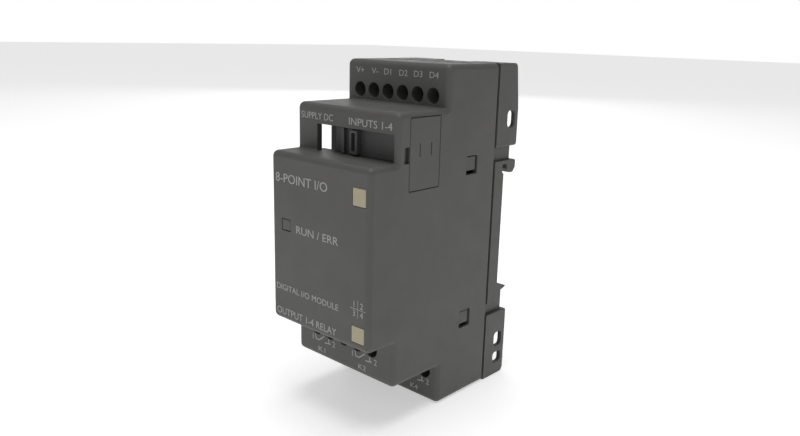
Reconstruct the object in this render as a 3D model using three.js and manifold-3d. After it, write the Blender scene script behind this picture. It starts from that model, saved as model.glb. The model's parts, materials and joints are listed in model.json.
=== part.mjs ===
// Input/output expansion block for a small logic controller, two modules wide, for a 35 mm top-hat rail.
// Units are millimetres. +Z is up, the front looks towards -Y and +X is on the right seen from the front.
// The origin is under the middle of the block, at the height of its lowest face.
// Limits are written as [low, high]. Depths run from the front face towards the rail.

import * as THREE from 'three';
import { mergeVertices } from 'three/addons/utils/BufferGeometryUtils.js';
import Module from 'manifold-3d';

const wasm = await Module();
wasm.setup();

// Outside of the block.
const WIDTH = 36;
const HEIGHT = 90;
const DEPTH = 57;
const MID_STEP_DEPTH = 8.8;
const BACK_STEP_DEPTH = 26.5;
const BACK_STEP_RISE = 10.7;
const FRONT_STEP_RISE = 22.5;
const EDGE_RADIUS = 1.5;
const INSIDE_RADIUS = 0.4;
const EDGE_BEVEL = 1.3;

// The steps are the same at the top and at the bottom.
const MID_TOP = HEIGHT - BACK_STEP_RISE;
const FRONT_TOP = HEIGHT - FRONT_STEP_RISE;

// Shell walls and the seam between the housing and the base.
const WALL = 1.6;
const SIDE_WALL = 1.4;
const SEAM_DEPTH = 47.15;
const SEAM_GAP = 0.7;
const HOUSING_REAR = SEAM_DEPTH - SEAM_GAP / 2;
const BASE_FRONT = SEAM_DEPTH + SEAM_GAP / 2;
const HALF_WIDTH = WIDTH / 2;
const HALF_CAVITY = HALF_WIDTH - SIDE_WALL;
const FULL_X = [-HALF_WIDTH, HALF_WIDTH];

// Cutters run this far past what they cut, and joined bodies reach this far into each other.
const PAST = 4;
const LAP = 0.2;

// Terminals. A row is the middles of its screw holes; the spare hole of a lower row takes no screw.
const HOLE_RADIUS = 2;
const TOP_ROW_Z = 82.1;
const MIDDLE_ROW_Z = 19.05;
const BOTTOM_ROW_Z = 8.5;
const PITCH = 5.14;
const MIDDLE_ROW_SHIFT = 0.15;
const BOTTOM_ROW_SHIFT = 3;
const HOLE_GUIDE_LENGTH = 5;
const HOLE_GUIDE_MARGIN = 0.3;
const WIRE_ENTRY = 3.8;
const SCREW_HEAD_SETBACK = 5.7;
const SCREW_HEAD_RADIUS = 1.75;
const SCREW_HEAD_LENGTH = 1.8;
const SCREW_SHANK_RADIUS = 1.35;
const SCREW_SHANK_LENGTH = 4.2;
const SCREW_TIP_CHAMFER = 0.5;
const SCREW_SLOT_WIDTH = 0.6;
const SCREW_SLOT_DEPTH = 0.9;
const CAGE_SIZE = [4.4, 6.6, 6];
const CAGE_SETBACK = 2.3;
const CAGE_WINDOW = [3.2, 3.4];
const CAGE_FRONT_WALL = 1.6;
const CAGE_THREAD_RADIUS = 1.5;
const COMB_WALL = 0.5;
const COMB_FLOOR = 1;
const COMB_FRONT_MARGIN = 1.7;

// Coupling to the neighbouring modules, behind the upper step.
const WINDOW_X = [-10.1, 16.7];
const WINDOW_TOP = 74.3;
const COUPLING_FRONT = 14.1;
const COUPLING_REAR_LEFT = 22.8;
const COUPLING_REAR_RIGHT = 22.8;
const COUPLING_BOTTOM = 61.6;
const COUPLING_TOP = 76.9;
const COVER_DEPTHS = [12.85, 24];
const COVER_HEIGHTS = [60.35, 78.1];
const COVER_THICKNESS = 1.2;
const COVER_GAP = 0.15;
const COVER_FLOOR_GAP = 0.05;
const COVER_GROOVE_DEPTHS = [16.5, 20.6];
const COVER_GROOVE_HEIGHTS = [67.2, 71.8];
const COVER_GROOVE_SIZE = 0.2;
const COVER_GROOVE_DEEP = 0.2;
const COVER_LEG_HEIGHTS = [[62.6, 65.2], [73, 75.6]];
const COVER_LEG_X = [13.2, 17];
const COVER_LEG_DEPTHS = [14.6, 15.7];
const COVER_HOOK_X = [13.2, 14];
const COVER_HOOK_DEPTHS = [14.3, 15.7];
const PRY_NOTCH_DEEP = 1.1;
const PRY_NOTCH_DEPTHS = [11.1, 13];
const PRY_NOTCH_HEIGHTS = [67.3, 71.2];
const BOSS_MARGIN = 0.5;
const BOSS_THICKNESS = 1;
const PLUG_DEPTHS = [18.2, 21.8];
const PLUG_HEIGHTS = [63.4, 75.2];
const PLUG_TIP = -15.3;

// Latch windows in both sides of the housing: depths, then heights of the upper and of the lower one.
const LATCH_DEPTHS = [34.9, 39.4];
const LATCH_HEIGHTS = [[61.9, 66.8], [19.55, 24.35]];
const LATCH_TAB_LENGTH = 3.7;
const LATCH_TAB_GAP = 0.25;
const LATCH_TAB_SETBACK = 0.3;
const LATCH_ARM_DROP = 1;
const LATCH_ARM_THICKNESS = 1.3;
const LATCH_ARM_GAP = 0.4;

// Rear of the base: rail seat, upper catch, lower nose, and the narrow necks between the three blocks.
const RAIL_SEAT = 51.75;
const UPPER_BLOCK_BOTTOM = 67.8;
const CATCH_TOP = 63.9;
const CATCH_BOTTOM = 60.3;
const CATCH_SLOT = [51, 53.1];
const CATCH_SLOT_TOP = 62.9;
const NOSE_TOP = 28;
const NOSE_BOTTOM = 26.2;
const NOSE_TIP = 56.3;
const LOWER_BLOCK_TOP = 19.8;
const NECK_HALF_WIDTH = 16.9;
const NECK_DEPTH = 55.6;
const BASE_WALL = 1.3;
const POCKET_FLOOR = 50.8;
const GUIDE_OUTER = 9.2;
const SLIDE_HALF_WIDTH = 7;
const SLIDE_CLEARANCE = 0.3;
const SLIDE_FRONT = 53.7;
const SLIDE_REAR = 55.3;
const SLIDE_RIDGE_HALF_WIDTH = 5.6;
const SLIDE_RIDGE_REAR = 56.7;
const EYELET_RADIUS = 2.15;
const EYELET_INSET = 4.5;
const LOCK_TOP = 29.3;

// Boards.
const TERMINAL_BOARD_DEPTH = 43.4;
const MAIN_BOARD_DEPTH = 16;
const BUS_BOARD_DEPTH = 23.3;
const BOARD_THICKNESS = 1.6;
const RELAY_SIZE = [10.2, 15.5, 20.5];

const LATHE_SEGMENTS = 16;
const HOLE_SEGMENTS = 20;
const ARC_SEGMENTS = 2;

const plastic = new THREE.Color(0x52514f);
const deepPlastic = new THREE.Color(0x474648);
const cream = new THREE.Color(0xc0b795);

function material(color, roughness, metalness) {
  return new THREE.MeshStandardMaterial({ color, roughness, metalness });
}

// The group's Y for a depth behind the front face.
function rowY(depth) {
  return depth - DEPTH / 2;
}

// A closed geometry becomes a solid that can be joined and cut.
function toSolid(geometry) {
  const bare = geometry.index ? geometry.toNonIndexed() : geometry;
  bare.deleteAttribute('normal');
  bare.deleteAttribute('uv');
  const merged = mergeVertices(bare, 1e-4);
  const mesh = new wasm.Mesh({
    numProp: 3,
    vertProperties: new Float32Array(merged.attributes.position.array),
    triVerts: new Uint32Array(merged.index.array),
  });
  return new wasm.Manifold(mesh);
}

function toGeometry(solid) {
  const mesh = solid.getMesh();
  const geometry = new THREE.BufferGeometry();
  geometry.setAttribute('position', new THREE.BufferAttribute(mesh.vertProperties, 3));
  geometry.setIndex(new THREE.BufferAttribute(mesh.triVerts, 1));
  geometry.computeVertexNormals();
  return geometry;
}

function join(solids) {
  return solids.reduce((whole, solid) => whole.add(solid));
}

function cut(solid, tools) {
  return tools.reduce((whole, tool) => whole.subtract(tool), solid);
}

// A box between two limits on each axis: X, depth, Z.
function boxGeometry(x, depth, z) {
  const geometry = new THREE.BoxGeometry(x[1] - x[0], depth[1] - depth[0], z[1] - z[0]);
  return geometry.translate((x[0] + x[1]) / 2, rowY((depth[0] + depth[1]) / 2), (z[0] + z[1]) / 2);
}

function box(x, depth, z) {
  return toSolid(boxGeometry(x, depth, z));
}

function mirrored(limits) {
  return [-limits[1], -limits[0]];
}

function grown(limits, by) {
  return [limits[0] - by, limits[1] + by];
}

function sorted(a, b) {
  return [Math.min(a, b), Math.max(a, b)];
}

// An outline whose corners are [across, up, radius]; each radius is a true arc.
function roundedOutline(corners) {
  const shape = new THREE.Shape();
  corners.forEach(([across, up, radius], index) => {
    const corner = new THREE.Vector2(across, up);
    const before = corners[(index + corners.length - 1) % corners.length];
    const after = corners[(index + 1) % corners.length];
    const towardsBefore = new THREE.Vector2(before[0], before[1]).sub(corner).normalize();
    const towardsAfter = new THREE.Vector2(after[0], after[1]).sub(corner).normalize();
    const half = Math.acos(towardsBefore.dot(towardsAfter)) / 2;
    const reach = radius / Math.tan(half);
    const start = corner.clone().addScaledVector(towardsBefore, reach);
    if (index === 0) {
      shape.moveTo(start.x, start.y);
    } else {
      shape.lineTo(start.x, start.y);
    }
    if (radius > 0) {
      const end = corner.clone().addScaledVector(towardsAfter, reach);
      const bisector = towardsBefore.clone().add(towardsAfter).normalize();
      const centre = corner.clone().addScaledVector(bisector, radius / Math.sin(half));
      const clockwise = towardsBefore.cross(towardsAfter) > 0;
      const from = Math.atan2(start.y - centre.y, start.x - centre.x);
      const to = Math.atan2(end.y - centre.y, end.x - centre.x);
      shape.absarc(centre.x, centre.y, radius, from, to, clockwise);
    }
  });
  shape.closePath();
  return shape;
}

// An outline drawn in depth and height, extruded along X; the bevel rounds the side edges.
function sideExtrusion(shape, x, bevel) {
  const geometry = new THREE.ExtrudeGeometry(shape, {
    depth: x[1] - x[0] - 2 * bevel,
    curveSegments: ARC_SEGMENTS,
    bevelEnabled: bevel > 0,
    bevelThickness: bevel,
    bevelSize: bevel,
    bevelOffset: -bevel,
    bevelSegments: 3,
  });
  geometry.translate(0, 0, x[0] + bevel);
  const turn = new THREE.Matrix4().makeBasis(
    new THREE.Vector3(0, 1, 0),
    new THREE.Vector3(0, 0, 1),
    new THREE.Vector3(1, 0, 0),
  );
  geometry.applyMatrix4(turn);
  geometry.translate(0, -DEPTH / 2, 0);
  return toSolid(geometry);
}

// A round bar along Y between two depths.
function barAlongDepth(radius, x, depth, z, segments) {
  const geometry = new THREE.CylinderGeometry(radius, radius, depth[1] - depth[0], segments);
  return toSolid(geometry.translate(x, rowY((depth[0] + depth[1]) / 2), z));
}

// The stepped side outline, moved inwards by an inset; the rear end is left open for cutting.
function steppedOutline(inset, rear, outerRadius, innerRadius) {
  return roundedOutline([
    [rear, inset, 0],
    [rear, HEIGHT - inset, 0],
    [BACK_STEP_DEPTH + inset, HEIGHT - inset, outerRadius],
    [BACK_STEP_DEPTH + inset, MID_TOP - inset, innerRadius],
    [MID_STEP_DEPTH + inset, MID_TOP - inset, outerRadius],
    [MID_STEP_DEPTH + inset, FRONT_TOP - inset, innerRadius],
    [inset, FRONT_TOP - inset, outerRadius],
    [inset, FRONT_STEP_RISE + inset, outerRadius],
    [MID_STEP_DEPTH + inset, FRONT_STEP_RISE + inset, innerRadius],
    [MID_STEP_DEPTH + inset, BACK_STEP_RISE + inset, outerRadius],
    [BACK_STEP_DEPTH + inset, BACK_STEP_RISE + inset, innerRadius],
    [BACK_STEP_DEPTH + inset, inset, outerRadius],
  ]);
}

function centredRow(count, pitch, shift) {
  return Array.from({ length: count }, (_, index) => shift + (index - (count - 1) / 2) * pitch);
}

function withoutMiddle(row) {
  return row.filter((_, index) => index !== (row.length - 1) / 2);
}

// The three rows: name, depth of the face with the holes, hole height, all holes, holes with a screw,
// and whether the wires come in from above.
const TOP_HOLES = centredRow(6, PITCH, 0);
const MIDDLE_HOLES = centredRow(5, PITCH, MIDDLE_ROW_SHIFT);
const BOTTOM_HOLES = centredRow(5, PITCH, BOTTOM_ROW_SHIFT);
const ROWS = [
  { name: 'top', face: BACK_STEP_DEPTH, z: TOP_ROW_Z, holes: TOP_HOLES, used: TOP_HOLES, up: true },
  { name: 'middle', face: MID_STEP_DEPTH, z: MIDDLE_ROW_Z, holes: MIDDLE_HOLES,
    used: withoutMiddle(MIDDLE_HOLES), up: false },
  { name: 'bottom', face: BACK_STEP_DEPTH, z: BOTTOM_ROW_Z, holes: BOTTOM_HOLES,
    used: withoutMiddle(BOTTOM_HOLES), up: false },
];

function wallHeight(row) {
  if (row.up) {
    return HEIGHT;
  }
  return row.face === MID_STEP_DEPTH ? BACK_STEP_RISE : 0;
}

// Depth of the front of a row's cages, behind the screw heads.
function cageFront(row) {
  return row.face + SCREW_HEAD_SETBACK + SCREW_HEAD_LENGTH + CAGE_SETBACK;
}

// Block behind the front wall that guides the screwdriver to a row of screws.
function screwGuide(row) {
  const reach = HOLE_RADIUS + HOLE_GUIDE_MARGIN;
  const depths = [row.face + WALL / 2, row.face + HOLE_GUIDE_LENGTH];
  return box(grown(FULL_X, -SIDE_WALL / 2), depths, grown([row.z, row.z], reach));
}

function screwHoles(row) {
  const depths = [row.face - PAST, row.face + HOLE_GUIDE_LENGTH + PAST / 4];
  return row.holes.map((x) => barAlongDepth(HOLE_RADIUS, x, depths, row.z, HOLE_SEGMENTS));
}

function wireEntries(row) {
  const middle = cageFront(row) + CAGE_FRONT_WALL + CAGE_WINDOW[1] / 2;
  const half = WIRE_ENTRY / 2;
  const wall = wallHeight(row);
  return row.used.map((x) => box(
    [x - half, x + half], [middle - half, middle + half], [wall - PAST / 2, wall + PAST / 2],
  ));
}

// Thickening round the coupling opening on one side of the housing.
function couplingBoss(side) {
  const x = [HALF_CAVITY - BOSS_THICKNESS, HALF_CAVITY + SIDE_WALL / 2];
  const heights = [COVER_HEIGHTS[0] - BOSS_MARGIN, MID_TOP - WALL / 2];
  return box(side > 0 ? x : mirrored(x), grown(COVER_DEPTHS, BOSS_MARGIN), heights);
}

function couplingOpenings() {
  const through = [HALF_CAVITY - PAST, HALF_WIDTH + PAST];
  const heights = [COUPLING_BOTTOM, COUPLING_TOP];
  const rebate = [HALF_WIDTH - COVER_THICKNESS, HALF_WIDTH + PAST];
  const notch = [HALF_WIDTH - PRY_NOTCH_DEEP, HALF_WIDTH + PAST];
  return [
    box(through, [COUPLING_FRONT, COUPLING_REAR_RIGHT], heights),
    box(mirrored(through), [COUPLING_FRONT, COUPLING_REAR_LEFT], heights),
    box(rebate, COVER_DEPTHS, COVER_HEIGHTS),
    box(notch, PRY_NOTCH_DEPTHS, PRY_NOTCH_HEIGHTS),
  ];
}

function latchWindows() {
  const x = [HALF_CAVITY - PAST / 2, HALF_WIDTH + PAST];
  return LATCH_HEIGHTS.flatMap((heights) => [
    box(x, LATCH_DEPTHS, heights),
    box(mirrored(x), LATCH_DEPTHS, heights),
  ]);
}

// Front face: two shallow label pockets and the light window.
const LABEL_X = [12.3, 16.5];
const LABEL_THICKNESS = 0.6;
const LABEL_HEIGHTS = { top: [58.3, 62.55], bottom: [24.7, 28.85] };
const LABEL_GAP = 0.1;
const LAMP_X = [-13.7, -10.5];
const LAMP_Z = [47.4, 50.3];

function frontFaceCuts() {
  const pockets = Object.values(LABEL_HEIGHTS).map((heights) => box(
    grown(LABEL_X, LABEL_GAP), [-PAST, LABEL_THICKNESS], grown(heights, LABEL_GAP),
  ));
  const lamp = box(grown(LAMP_X, LABEL_GAP), [-PAST, PAST], grown(LAMP_Z, LABEL_GAP));
  return [...pockets, lamp];
}

// Window of the interlock slider with the ledge under it and the rib that holds the slider's plate.
const GUIDE_START_X = WINDOW_X[0] - 1.4;
const LEDGE_DEPTH = 12.4;
const RIB_DEPTHS = [12.3, 13.3];
const RIB_BOTTOM = 75;

function sliderWindow() {
  const depths = [MID_STEP_DEPTH - PAST, MID_STEP_DEPTH + WALL + LAP];
  return box(WINDOW_X, depths, [FRONT_TOP, WINDOW_TOP]);
}

function sliderGuides() {
  const ledgeX = [GUIDE_START_X, HALF_CAVITY + SIDE_WALL / 2];
  const ribX = [GUIDE_START_X, HALF_CAVITY - SIDE_WALL / 2];
  return [
    box(ledgeX, [MID_STEP_DEPTH + LAP, LEDGE_DEPTH], [FRONT_TOP - WALL, FRONT_TOP]),
    box(ribX, RIB_DEPTHS, [RIB_BOTTOM, MID_TOP - WALL / 2]),
  ];
}

function frontHousing() {
  const outside = sideExtrusion(
    steppedOutline(0, HOUSING_REAR + PAST, EDGE_RADIUS, INSIDE_RADIUS), FULL_X, EDGE_BEVEL,
  );
  const hollow = sideExtrusion(
    steppedOutline(WALL, DEPTH + PAST, INSIDE_RADIUS, INSIDE_RADIUS), grown(FULL_X, -SIDE_WALL), 0,
  );
  const behindSeam = box([-WIDTH, WIDTH], [HOUSING_REAR, DEPTH + 2 * PAST], [-PAST, HEIGHT + PAST]);
  const shell = cut(outside, [hollow, behindSeam]);
  const filled = join([
    shell, ...ROWS.map(screwGuide), couplingBoss(1), couplingBoss(-1), ...sliderGuides(),
  ]);
  return toGeometry(cut(filled, [
    ...ROWS.flatMap(screwHoles), ...ROWS.flatMap(wireEntries), ...couplingOpenings(), ...latchWindows(),
    ...frontFaceCuts(), sliderWindow(),
  ]));
}

// Rear base: side outlines as [depth, height, corner radius], from a start ahead of the seam.
const NECK_X = [-NECK_HALF_WIDTH, NECK_HALF_WIDTH];
const NECK_LAP = 1;
const BASE_START = BASE_FRONT - PAST;
const BASE_BEVEL = 0.3;
const NECK_BEVEL = 0.4;
const RAIL_BLOCK_BEVEL = 0.1;
const NOSE_DROP = 3;
const TAPER_START = 78;
const TAPER_DEPTH = DEPTH - 1.5;
const UPPER_BLOCK = [
  [BASE_START, UPPER_BLOCK_BOTTOM, 0],
  [DEPTH, UPPER_BLOCK_BOTTOM, 0.8],
  [DEPTH, TAPER_START, 0],
  [TAPER_DEPTH, HEIGHT, 1.2],
  [BASE_START, HEIGHT, 0],
];
const RAIL_BLOCK = [
  [BASE_START, NOSE_BOTTOM - NOSE_DROP, 0],
  [RAIL_SEAT, NOSE_BOTTOM - NOSE_DROP, 0],
  [RAIL_SEAT + 0.4, NOSE_BOTTOM, 0],
  [54.3, NOSE_BOTTOM, 0.3],
  [NOSE_TIP, 26.9, 0.2],
  [53.4, NOSE_TOP, 0.3],
  [RAIL_SEAT, NOSE_TOP + 0.6, 0.3],
  [RAIL_SEAT, CATCH_BOTTOM - 0.1, 0],
  [CATCH_SLOT[0], CATCH_BOTTOM + 0.5, 0],
  [CATCH_SLOT[0], CATCH_SLOT_TOP, 0.4],
  [CATCH_SLOT[1], CATCH_SLOT_TOP, 0.4],
  [CATCH_SLOT[1] + 0.2, 61.4, 0.2],
  [CATCH_SLOT[1] + 1.4, CATCH_BOTTOM, 0.2],
  [55.9, CATCH_BOTTOM, 0.5],
  [DEPTH, 61.6, 0.6],
  [DEPTH, CATCH_TOP, 0.6],
  [BASE_START, CATCH_TOP, 0],
];
const LOWER_BLOCK = [
  [BASE_START, 0, 0],
  [DEPTH, 0, 1.5],
  [DEPTH, LOWER_BLOCK_TOP, 0.7],
  [BASE_START, LOWER_BLOCK_TOP, 0],
];

// The plain outline of a neck between two heights, reaching a little into the blocks it joins.
function neckOutline(heights) {
  const [low, high] = grown(heights, NECK_LAP);
  return [[BASE_START, low, 0], [NECK_DEPTH, low, 0], [NECK_DEPTH, high, 0], [BASE_START, high, 0]];
}

function baseBlocks() {
  return [
    sideExtrusion(roundedOutline(UPPER_BLOCK), FULL_X, BASE_BEVEL),
    sideExtrusion(roundedOutline(RAIL_BLOCK), FULL_X, RAIL_BLOCK_BEVEL),
    sideExtrusion(roundedOutline(LOWER_BLOCK), FULL_X, BASE_BEVEL),
    sideExtrusion(roundedOutline(neckOutline([CATCH_TOP, UPPER_BLOCK_BOTTOM])), NECK_X, NECK_BEVEL),
    sideExtrusion(roundedOutline(neckOutline([LOWER_BLOCK_TOP, NOSE_BOTTOM])), NECK_X, NECK_BEVEL),
  ];
}

// Hollows behind the side walls, open to the rear, and the holes through those walls.
const SIDE_HOLES = [
  { depths: [52.1, 55.5], heights: [72.8, 77.5], radius: 1.3 },
  { depths: [51.9, 55.5], heights: [8.9, 13.2], radius: 1.1 },
  { depths: [51.8, 55.5], heights: [3.7, 7], radius: 0.9 },
];

function basePockets() {
  const x = [GUIDE_OUTER, HALF_WIDTH - BASE_WALL];
  const depths = [POCKET_FLOOR, DEPTH + PAST];
  const upper = [UPPER_BLOCK_BOTTOM + BASE_WALL, HEIGHT - BASE_WALL];
  const lower = [BASE_WALL, LOWER_BLOCK_TOP - BASE_WALL];
  return [upper, lower].flatMap((heights) => [box(x, depths, heights), box(mirrored(x), depths, heights)]);
}

function baseSideHoles() {
  const x = [HALF_WIDTH - BASE_WALL - PAST / 4, HALF_WIDTH + PAST];
  return SIDE_HOLES.flatMap(({ depths, heights, radius }) => {
    const outline = roundedOutline([
      [depths[0], heights[0], radius], [depths[1], heights[0], radius],
      [depths[1], heights[1], radius], [depths[0], heights[1], radius],
    ]);
    return [sideExtrusion(outline, x, 0), sideExtrusion(outline, mirrored(x), 0)];
  });
}

// T-shaped channels for the two mounting slides, the notch that the rail lock's tip stands in, and the
// notch in the top edge that a finger or a screwdriver reaches the upper slide through.
const TOP_CHANNEL_END = CATCH_TOP + 1.8;
const TOP_NOTCH_START = 49.2;
const TOP_NOTCH_FLOOR = 87.9;

function slideChannels() {
  const wide = SLIDE_HALF_WIDTH + SLIDE_CLEARANCE;
  const narrow = SLIDE_RIDGE_HALF_WIDTH + SLIDE_CLEARANCE;
  const wideDepths = [SLIDE_FRONT - SLIDE_CLEARANCE, SLIDE_REAR + SLIDE_CLEARANCE];
  const openDepths = [SLIDE_FRONT, DEPTH + PAST];
  const upper = [TOP_CHANNEL_END, HEIGHT + PAST];
  const lower = [-PAST, NOSE_TOP + PAST / 2];
  const lockNotch = box(
    [-wide, wide], [RAIL_SEAT - SLIDE_CLEARANCE, SLIDE_FRONT], [NOSE_TOP - LAP, LOCK_TOP + SLIDE_CLEARANCE],
  );
  const channels = [upper, lower].flatMap((heights) => [
    box([-wide, wide], wideDepths, heights),
    box([-narrow, narrow], openDepths, heights),
  ]);
  const topNotch = box([-narrow, narrow], [TOP_NOTCH_START, DEPTH + PAST], [TOP_NOTCH_FLOOR, HEIGHT + PAST]);
  return [...channels, lockNotch, topNotch];
}

// Hollows that are open towards the housing, inside the rim.
const FRONT_POCKET_MARGIN = 2;
const FRONT_POCKET_END = 3.4;

function baseFrontPockets() {
  const x = grown(FULL_X, -SIDE_WALL - FRONT_POCKET_MARGIN);
  const behindPockets = [BASE_START, POCKET_FLOOR - WALL];
  const behindSeat = [BASE_START, RAIL_SEAT - WALL];
  return [
    box(x, behindPockets, [UPPER_BLOCK_BOTTOM + FRONT_POCKET_MARGIN, HEIGHT - FRONT_POCKET_END]),
    box(x, behindSeat, grown([NOSE_TOP, CATCH_BOTTOM], -FRONT_POCKET_MARGIN)),
    box(x, behindPockets, [FRONT_POCKET_END, LOWER_BLOCK_TOP - FRONT_POCKET_MARGIN]),
  ];
}

// Rim of the base that reaches into the housing behind the seam.
const RIM_GAP = 0.2;
const RIM_THICKNESS = 1.1;
const RIM_REACH = 1.8;

function baseRim() {
  const depths = [BASE_FRONT - RIM_REACH, BASE_FRONT + LAP];
  const x = grown(FULL_X, -SIDE_WALL - RIM_GAP);
  const heights = grown([0, HEIGHT], -WALL - RIM_GAP);
  const inner = box(grown(x, -RIM_THICKNESS), grown(depths, PAST), grown(heights, -RIM_THICKNESS));
  return box(x, depths, heights).subtract(inner);
}

// Arms that reach forward inside the housing, each with a tab in its latch window.
function latchArms() {
  const outer = HALF_CAVITY - LATCH_ARM_GAP;
  const inner = outer - LATCH_ARM_THICKNESS;
  const tabFront = LATCH_DEPTHS[0] + LATCH_TAB_GAP;
  return LATCH_HEIGHTS.flatMap(([low, high]) => {
    const z = [low + LATCH_ARM_DROP, high - LATCH_TAB_GAP];
    const arm = [[inner, outer], [tabFront, BASE_FRONT + LAP]];
    const tab = [[inner, HALF_WIDTH - LATCH_TAB_SETBACK], [tabFront, tabFront + LATCH_TAB_LENGTH]];
    return [arm, tab].flatMap(([x, depths]) => [box(x, depths, z), box(mirrored(x), depths, z)]);
  });
}

function rearBase() {
  const blocks = join(baseBlocks());
  const aheadOfSeam = box([-WIDTH, WIDTH], [-PAST, BASE_FRONT], [-PAST, HEIGHT + PAST]);
  const body = cut(blocks, [
    aheadOfSeam, ...basePockets(), ...baseSideHoles(), ...slideChannels(), ...baseFrontPockets(),
  ]);
  return toGeometry(join([body, baseRim(), ...latchArms()]));
}

// Lid over the expansion socket: a grooved plate with two legs that snap into the opening.
function expansionCover() {
  const x = [HALF_WIDTH - COVER_THICKNESS + COVER_FLOOR_GAP, HALF_WIDTH];
  const plate = box(x, grown(COVER_DEPTHS, -COVER_GAP), grown(COVER_HEIGHTS, -COVER_GAP));
  const grooves = COVER_GROOVE_DEPTHS.map((depth) => box(
    [HALF_WIDTH - COVER_GROOVE_DEEP, HALF_WIDTH + PAST], grown([depth, depth], COVER_GROOVE_SIZE),
    COVER_GROOVE_HEIGHTS,
  ));
  const legs = COVER_LEG_HEIGHTS.flatMap((heights) => [
    box(COVER_LEG_X, COVER_LEG_DEPTHS, heights),
    box(COVER_HOOK_X, COVER_HOOK_DEPTHS, heights),
  ]);
  return toGeometry(cut(join([plate, ...legs]), grooves));
}

// Slider behind the window: a plate with an eyelet for a screwdriver and an arm that carries the bus plug.
const PLATE_X = [-2.4, 15.4];
const PLATE_DEPTHS = [10.7, 12];
const PLATE_HEIGHTS = [67.6, 75.9];
const EYELET_X = [1.4, 4.1];
const EYELET_HEIGHTS = [67.9, 73.9];
const EYELET_RIM = 0.7;
const EYELET_FRONT = MID_STEP_DEPTH + 0.1;
const LIP_X = [PLATE_X[0], -1.2];
const LIP_FRONT = 9.7;
const LIP_HEIGHTS = [67.6, 74.1];
const ARM_X = [-5.4, -2.9];
const ARM_HEIGHTS = [PLATE_HEIGHTS[0], RIB_BOTTOM - 0.3];
const ARM_PLATE_X = [ARM_X[0], PLATE_X[0] + LAP];

function interlockSlider() {
  const ring = box(EYELET_X, [EYELET_FRONT, PLATE_DEPTHS[1]], EYELET_HEIGHTS);
  const slotHeights = grown(EYELET_HEIGHTS, -EYELET_RIM);
  const slot = box(grown(EYELET_X, -EYELET_RIM), [0, PLATE_DEPTHS[1] + PAST], slotHeights);
  const plate = box(PLATE_X, PLATE_DEPTHS, PLATE_HEIGHTS);
  const lip = box(LIP_X, [LIP_FRONT, PLATE_DEPTHS[1]], LIP_HEIGHTS);
  const link = box(ARM_PLATE_X, [PLATE_DEPTHS[0] + LAP, PLATE_DEPTHS[1]], ARM_HEIGHTS);
  const arm = box(ARM_X, [PLATE_DEPTHS[0] + LAP, PLUG_DEPTHS[1]], ARM_HEIGHTS);
  const carrier = box(ARM_X, PLUG_DEPTHS, PLUG_HEIGHTS);
  return toGeometry(cut(join([plate, lip, ring, link, arm, carrier]), [slot]));
}

// Plug of the bus: a tongue with a row of contact grooves that goes into the neighbour's socket.
const CONTACT_COUNT = 6;
const CONTACT_PITCH = 1.8;
const CONTACT_HALF_WIDTH = 0.4;
const CONTACT_DEEP = 0.5;
const CONTACT_START = 2.2;
const CONTACT_END = -7.5;

function busPlug() {
  const tongue = box([PLUG_TIP, ARM_X[0]], PLUG_DEPTHS, PLUG_HEIGHTS);
  const middle = (PLUG_HEIGHTS[0] + PLUG_HEIGHTS[1]) / 2;
  const depths = [PLUG_DEPTHS[0] - PAST, PLUG_DEPTHS[0] + CONTACT_DEEP];
  const grooves = centredRow(CONTACT_COUNT, CONTACT_PITCH, middle).map((z) => box(
    [PLUG_TIP + CONTACT_START, CONTACT_END], depths, grown([z, z], CONTACT_HALF_WIDTH),
  ));
  return toGeometry(cut(tongue, grooves));
}

const SOCKET_X = [5.4, 15.4];
const SOCKET_HEIGHTS = [61.9, 76.9];
const SOCKET_SLOT_DEPTHS = [17.8, 22.2];
const SOCKET_SLOT_HEIGHTS = [63, 75.8];
const SOCKET_SLOT_START = 7.2;
const SOCKET_FRONT = 16.9;

function expansionSocket() {
  const body = box(SOCKET_X, [SOCKET_FRONT, BUS_BOARD_DEPTH], SOCKET_HEIGHTS);
  const slot = box([SOCKET_SLOT_START, SOCKET_X[1] + PAST], SOCKET_SLOT_DEPTHS, SOCKET_SLOT_HEIGHTS);
  return toGeometry(body.subtract(slot));
}

// Mounting slides. Pushed out, their eyelets take the two wall screws; the lower one also locks the rail.
function slidePlate(heights, eyeletZ) {
  const plate = box([-SLIDE_HALF_WIDTH, SLIDE_HALF_WIDTH], [SLIDE_FRONT, SLIDE_REAR], heights);
  const eyelet = barAlongDepth(EYELET_RADIUS, 0, [SLIDE_FRONT - PAST, DEPTH + PAST], eyeletZ, HOLE_SEGMENTS);
  return { plate, eyelet };
}

const RIDGE_X = [-SLIDE_RIDGE_HALF_WIDTH, SLIDE_RIDGE_HALF_WIDTH];
const TOP_SLIDE_HEIGHTS = [66.2, HEIGHT - 0.6];
const BOTTOM_SLIDE_HEIGHTS = [0.2, LOCK_TOP];
const RIDGE_PITCH = 2;
const RIDGE_COUNT = 4;
const TOP_RIDGES_START = 67;
const BOTTOM_RIDGES_START = 11;

// Wedge on the lower slide that snaps behind the rail's edge, as [depth, height, corner radius].
const LOCK_HEAD = [
  [SLIDE_FRONT, 24.4, 0],
  [SLIDE_RIDGE_REAR, 24.4, 0.3],
  [SLIDE_RIDGE_REAR, 27, 0.3],
  [SLIDE_FRONT + 0.8, LOCK_TOP, 0.2],
  [SLIDE_FRONT, LOCK_TOP, 0],
];

// Finger ridges across a slide, upwards from a start height.
function ridges(start) {
  return Array.from({ length: RIDGE_COUNT }, (_, index) => {
    const foot = start + index * RIDGE_PITCH;
    return box(RIDGE_X, [SLIDE_REAR - LAP, SLIDE_RIDGE_REAR], [foot, foot + RIDGE_PITCH / 2]);
  });
}

function mountingSlideTop() {
  const { plate, eyelet } = slidePlate(TOP_SLIDE_HEIGHTS, HEIGHT - EYELET_INSET);
  return toGeometry(join([plate, ...ridges(TOP_RIDGES_START)]).subtract(eyelet));
}

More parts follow.
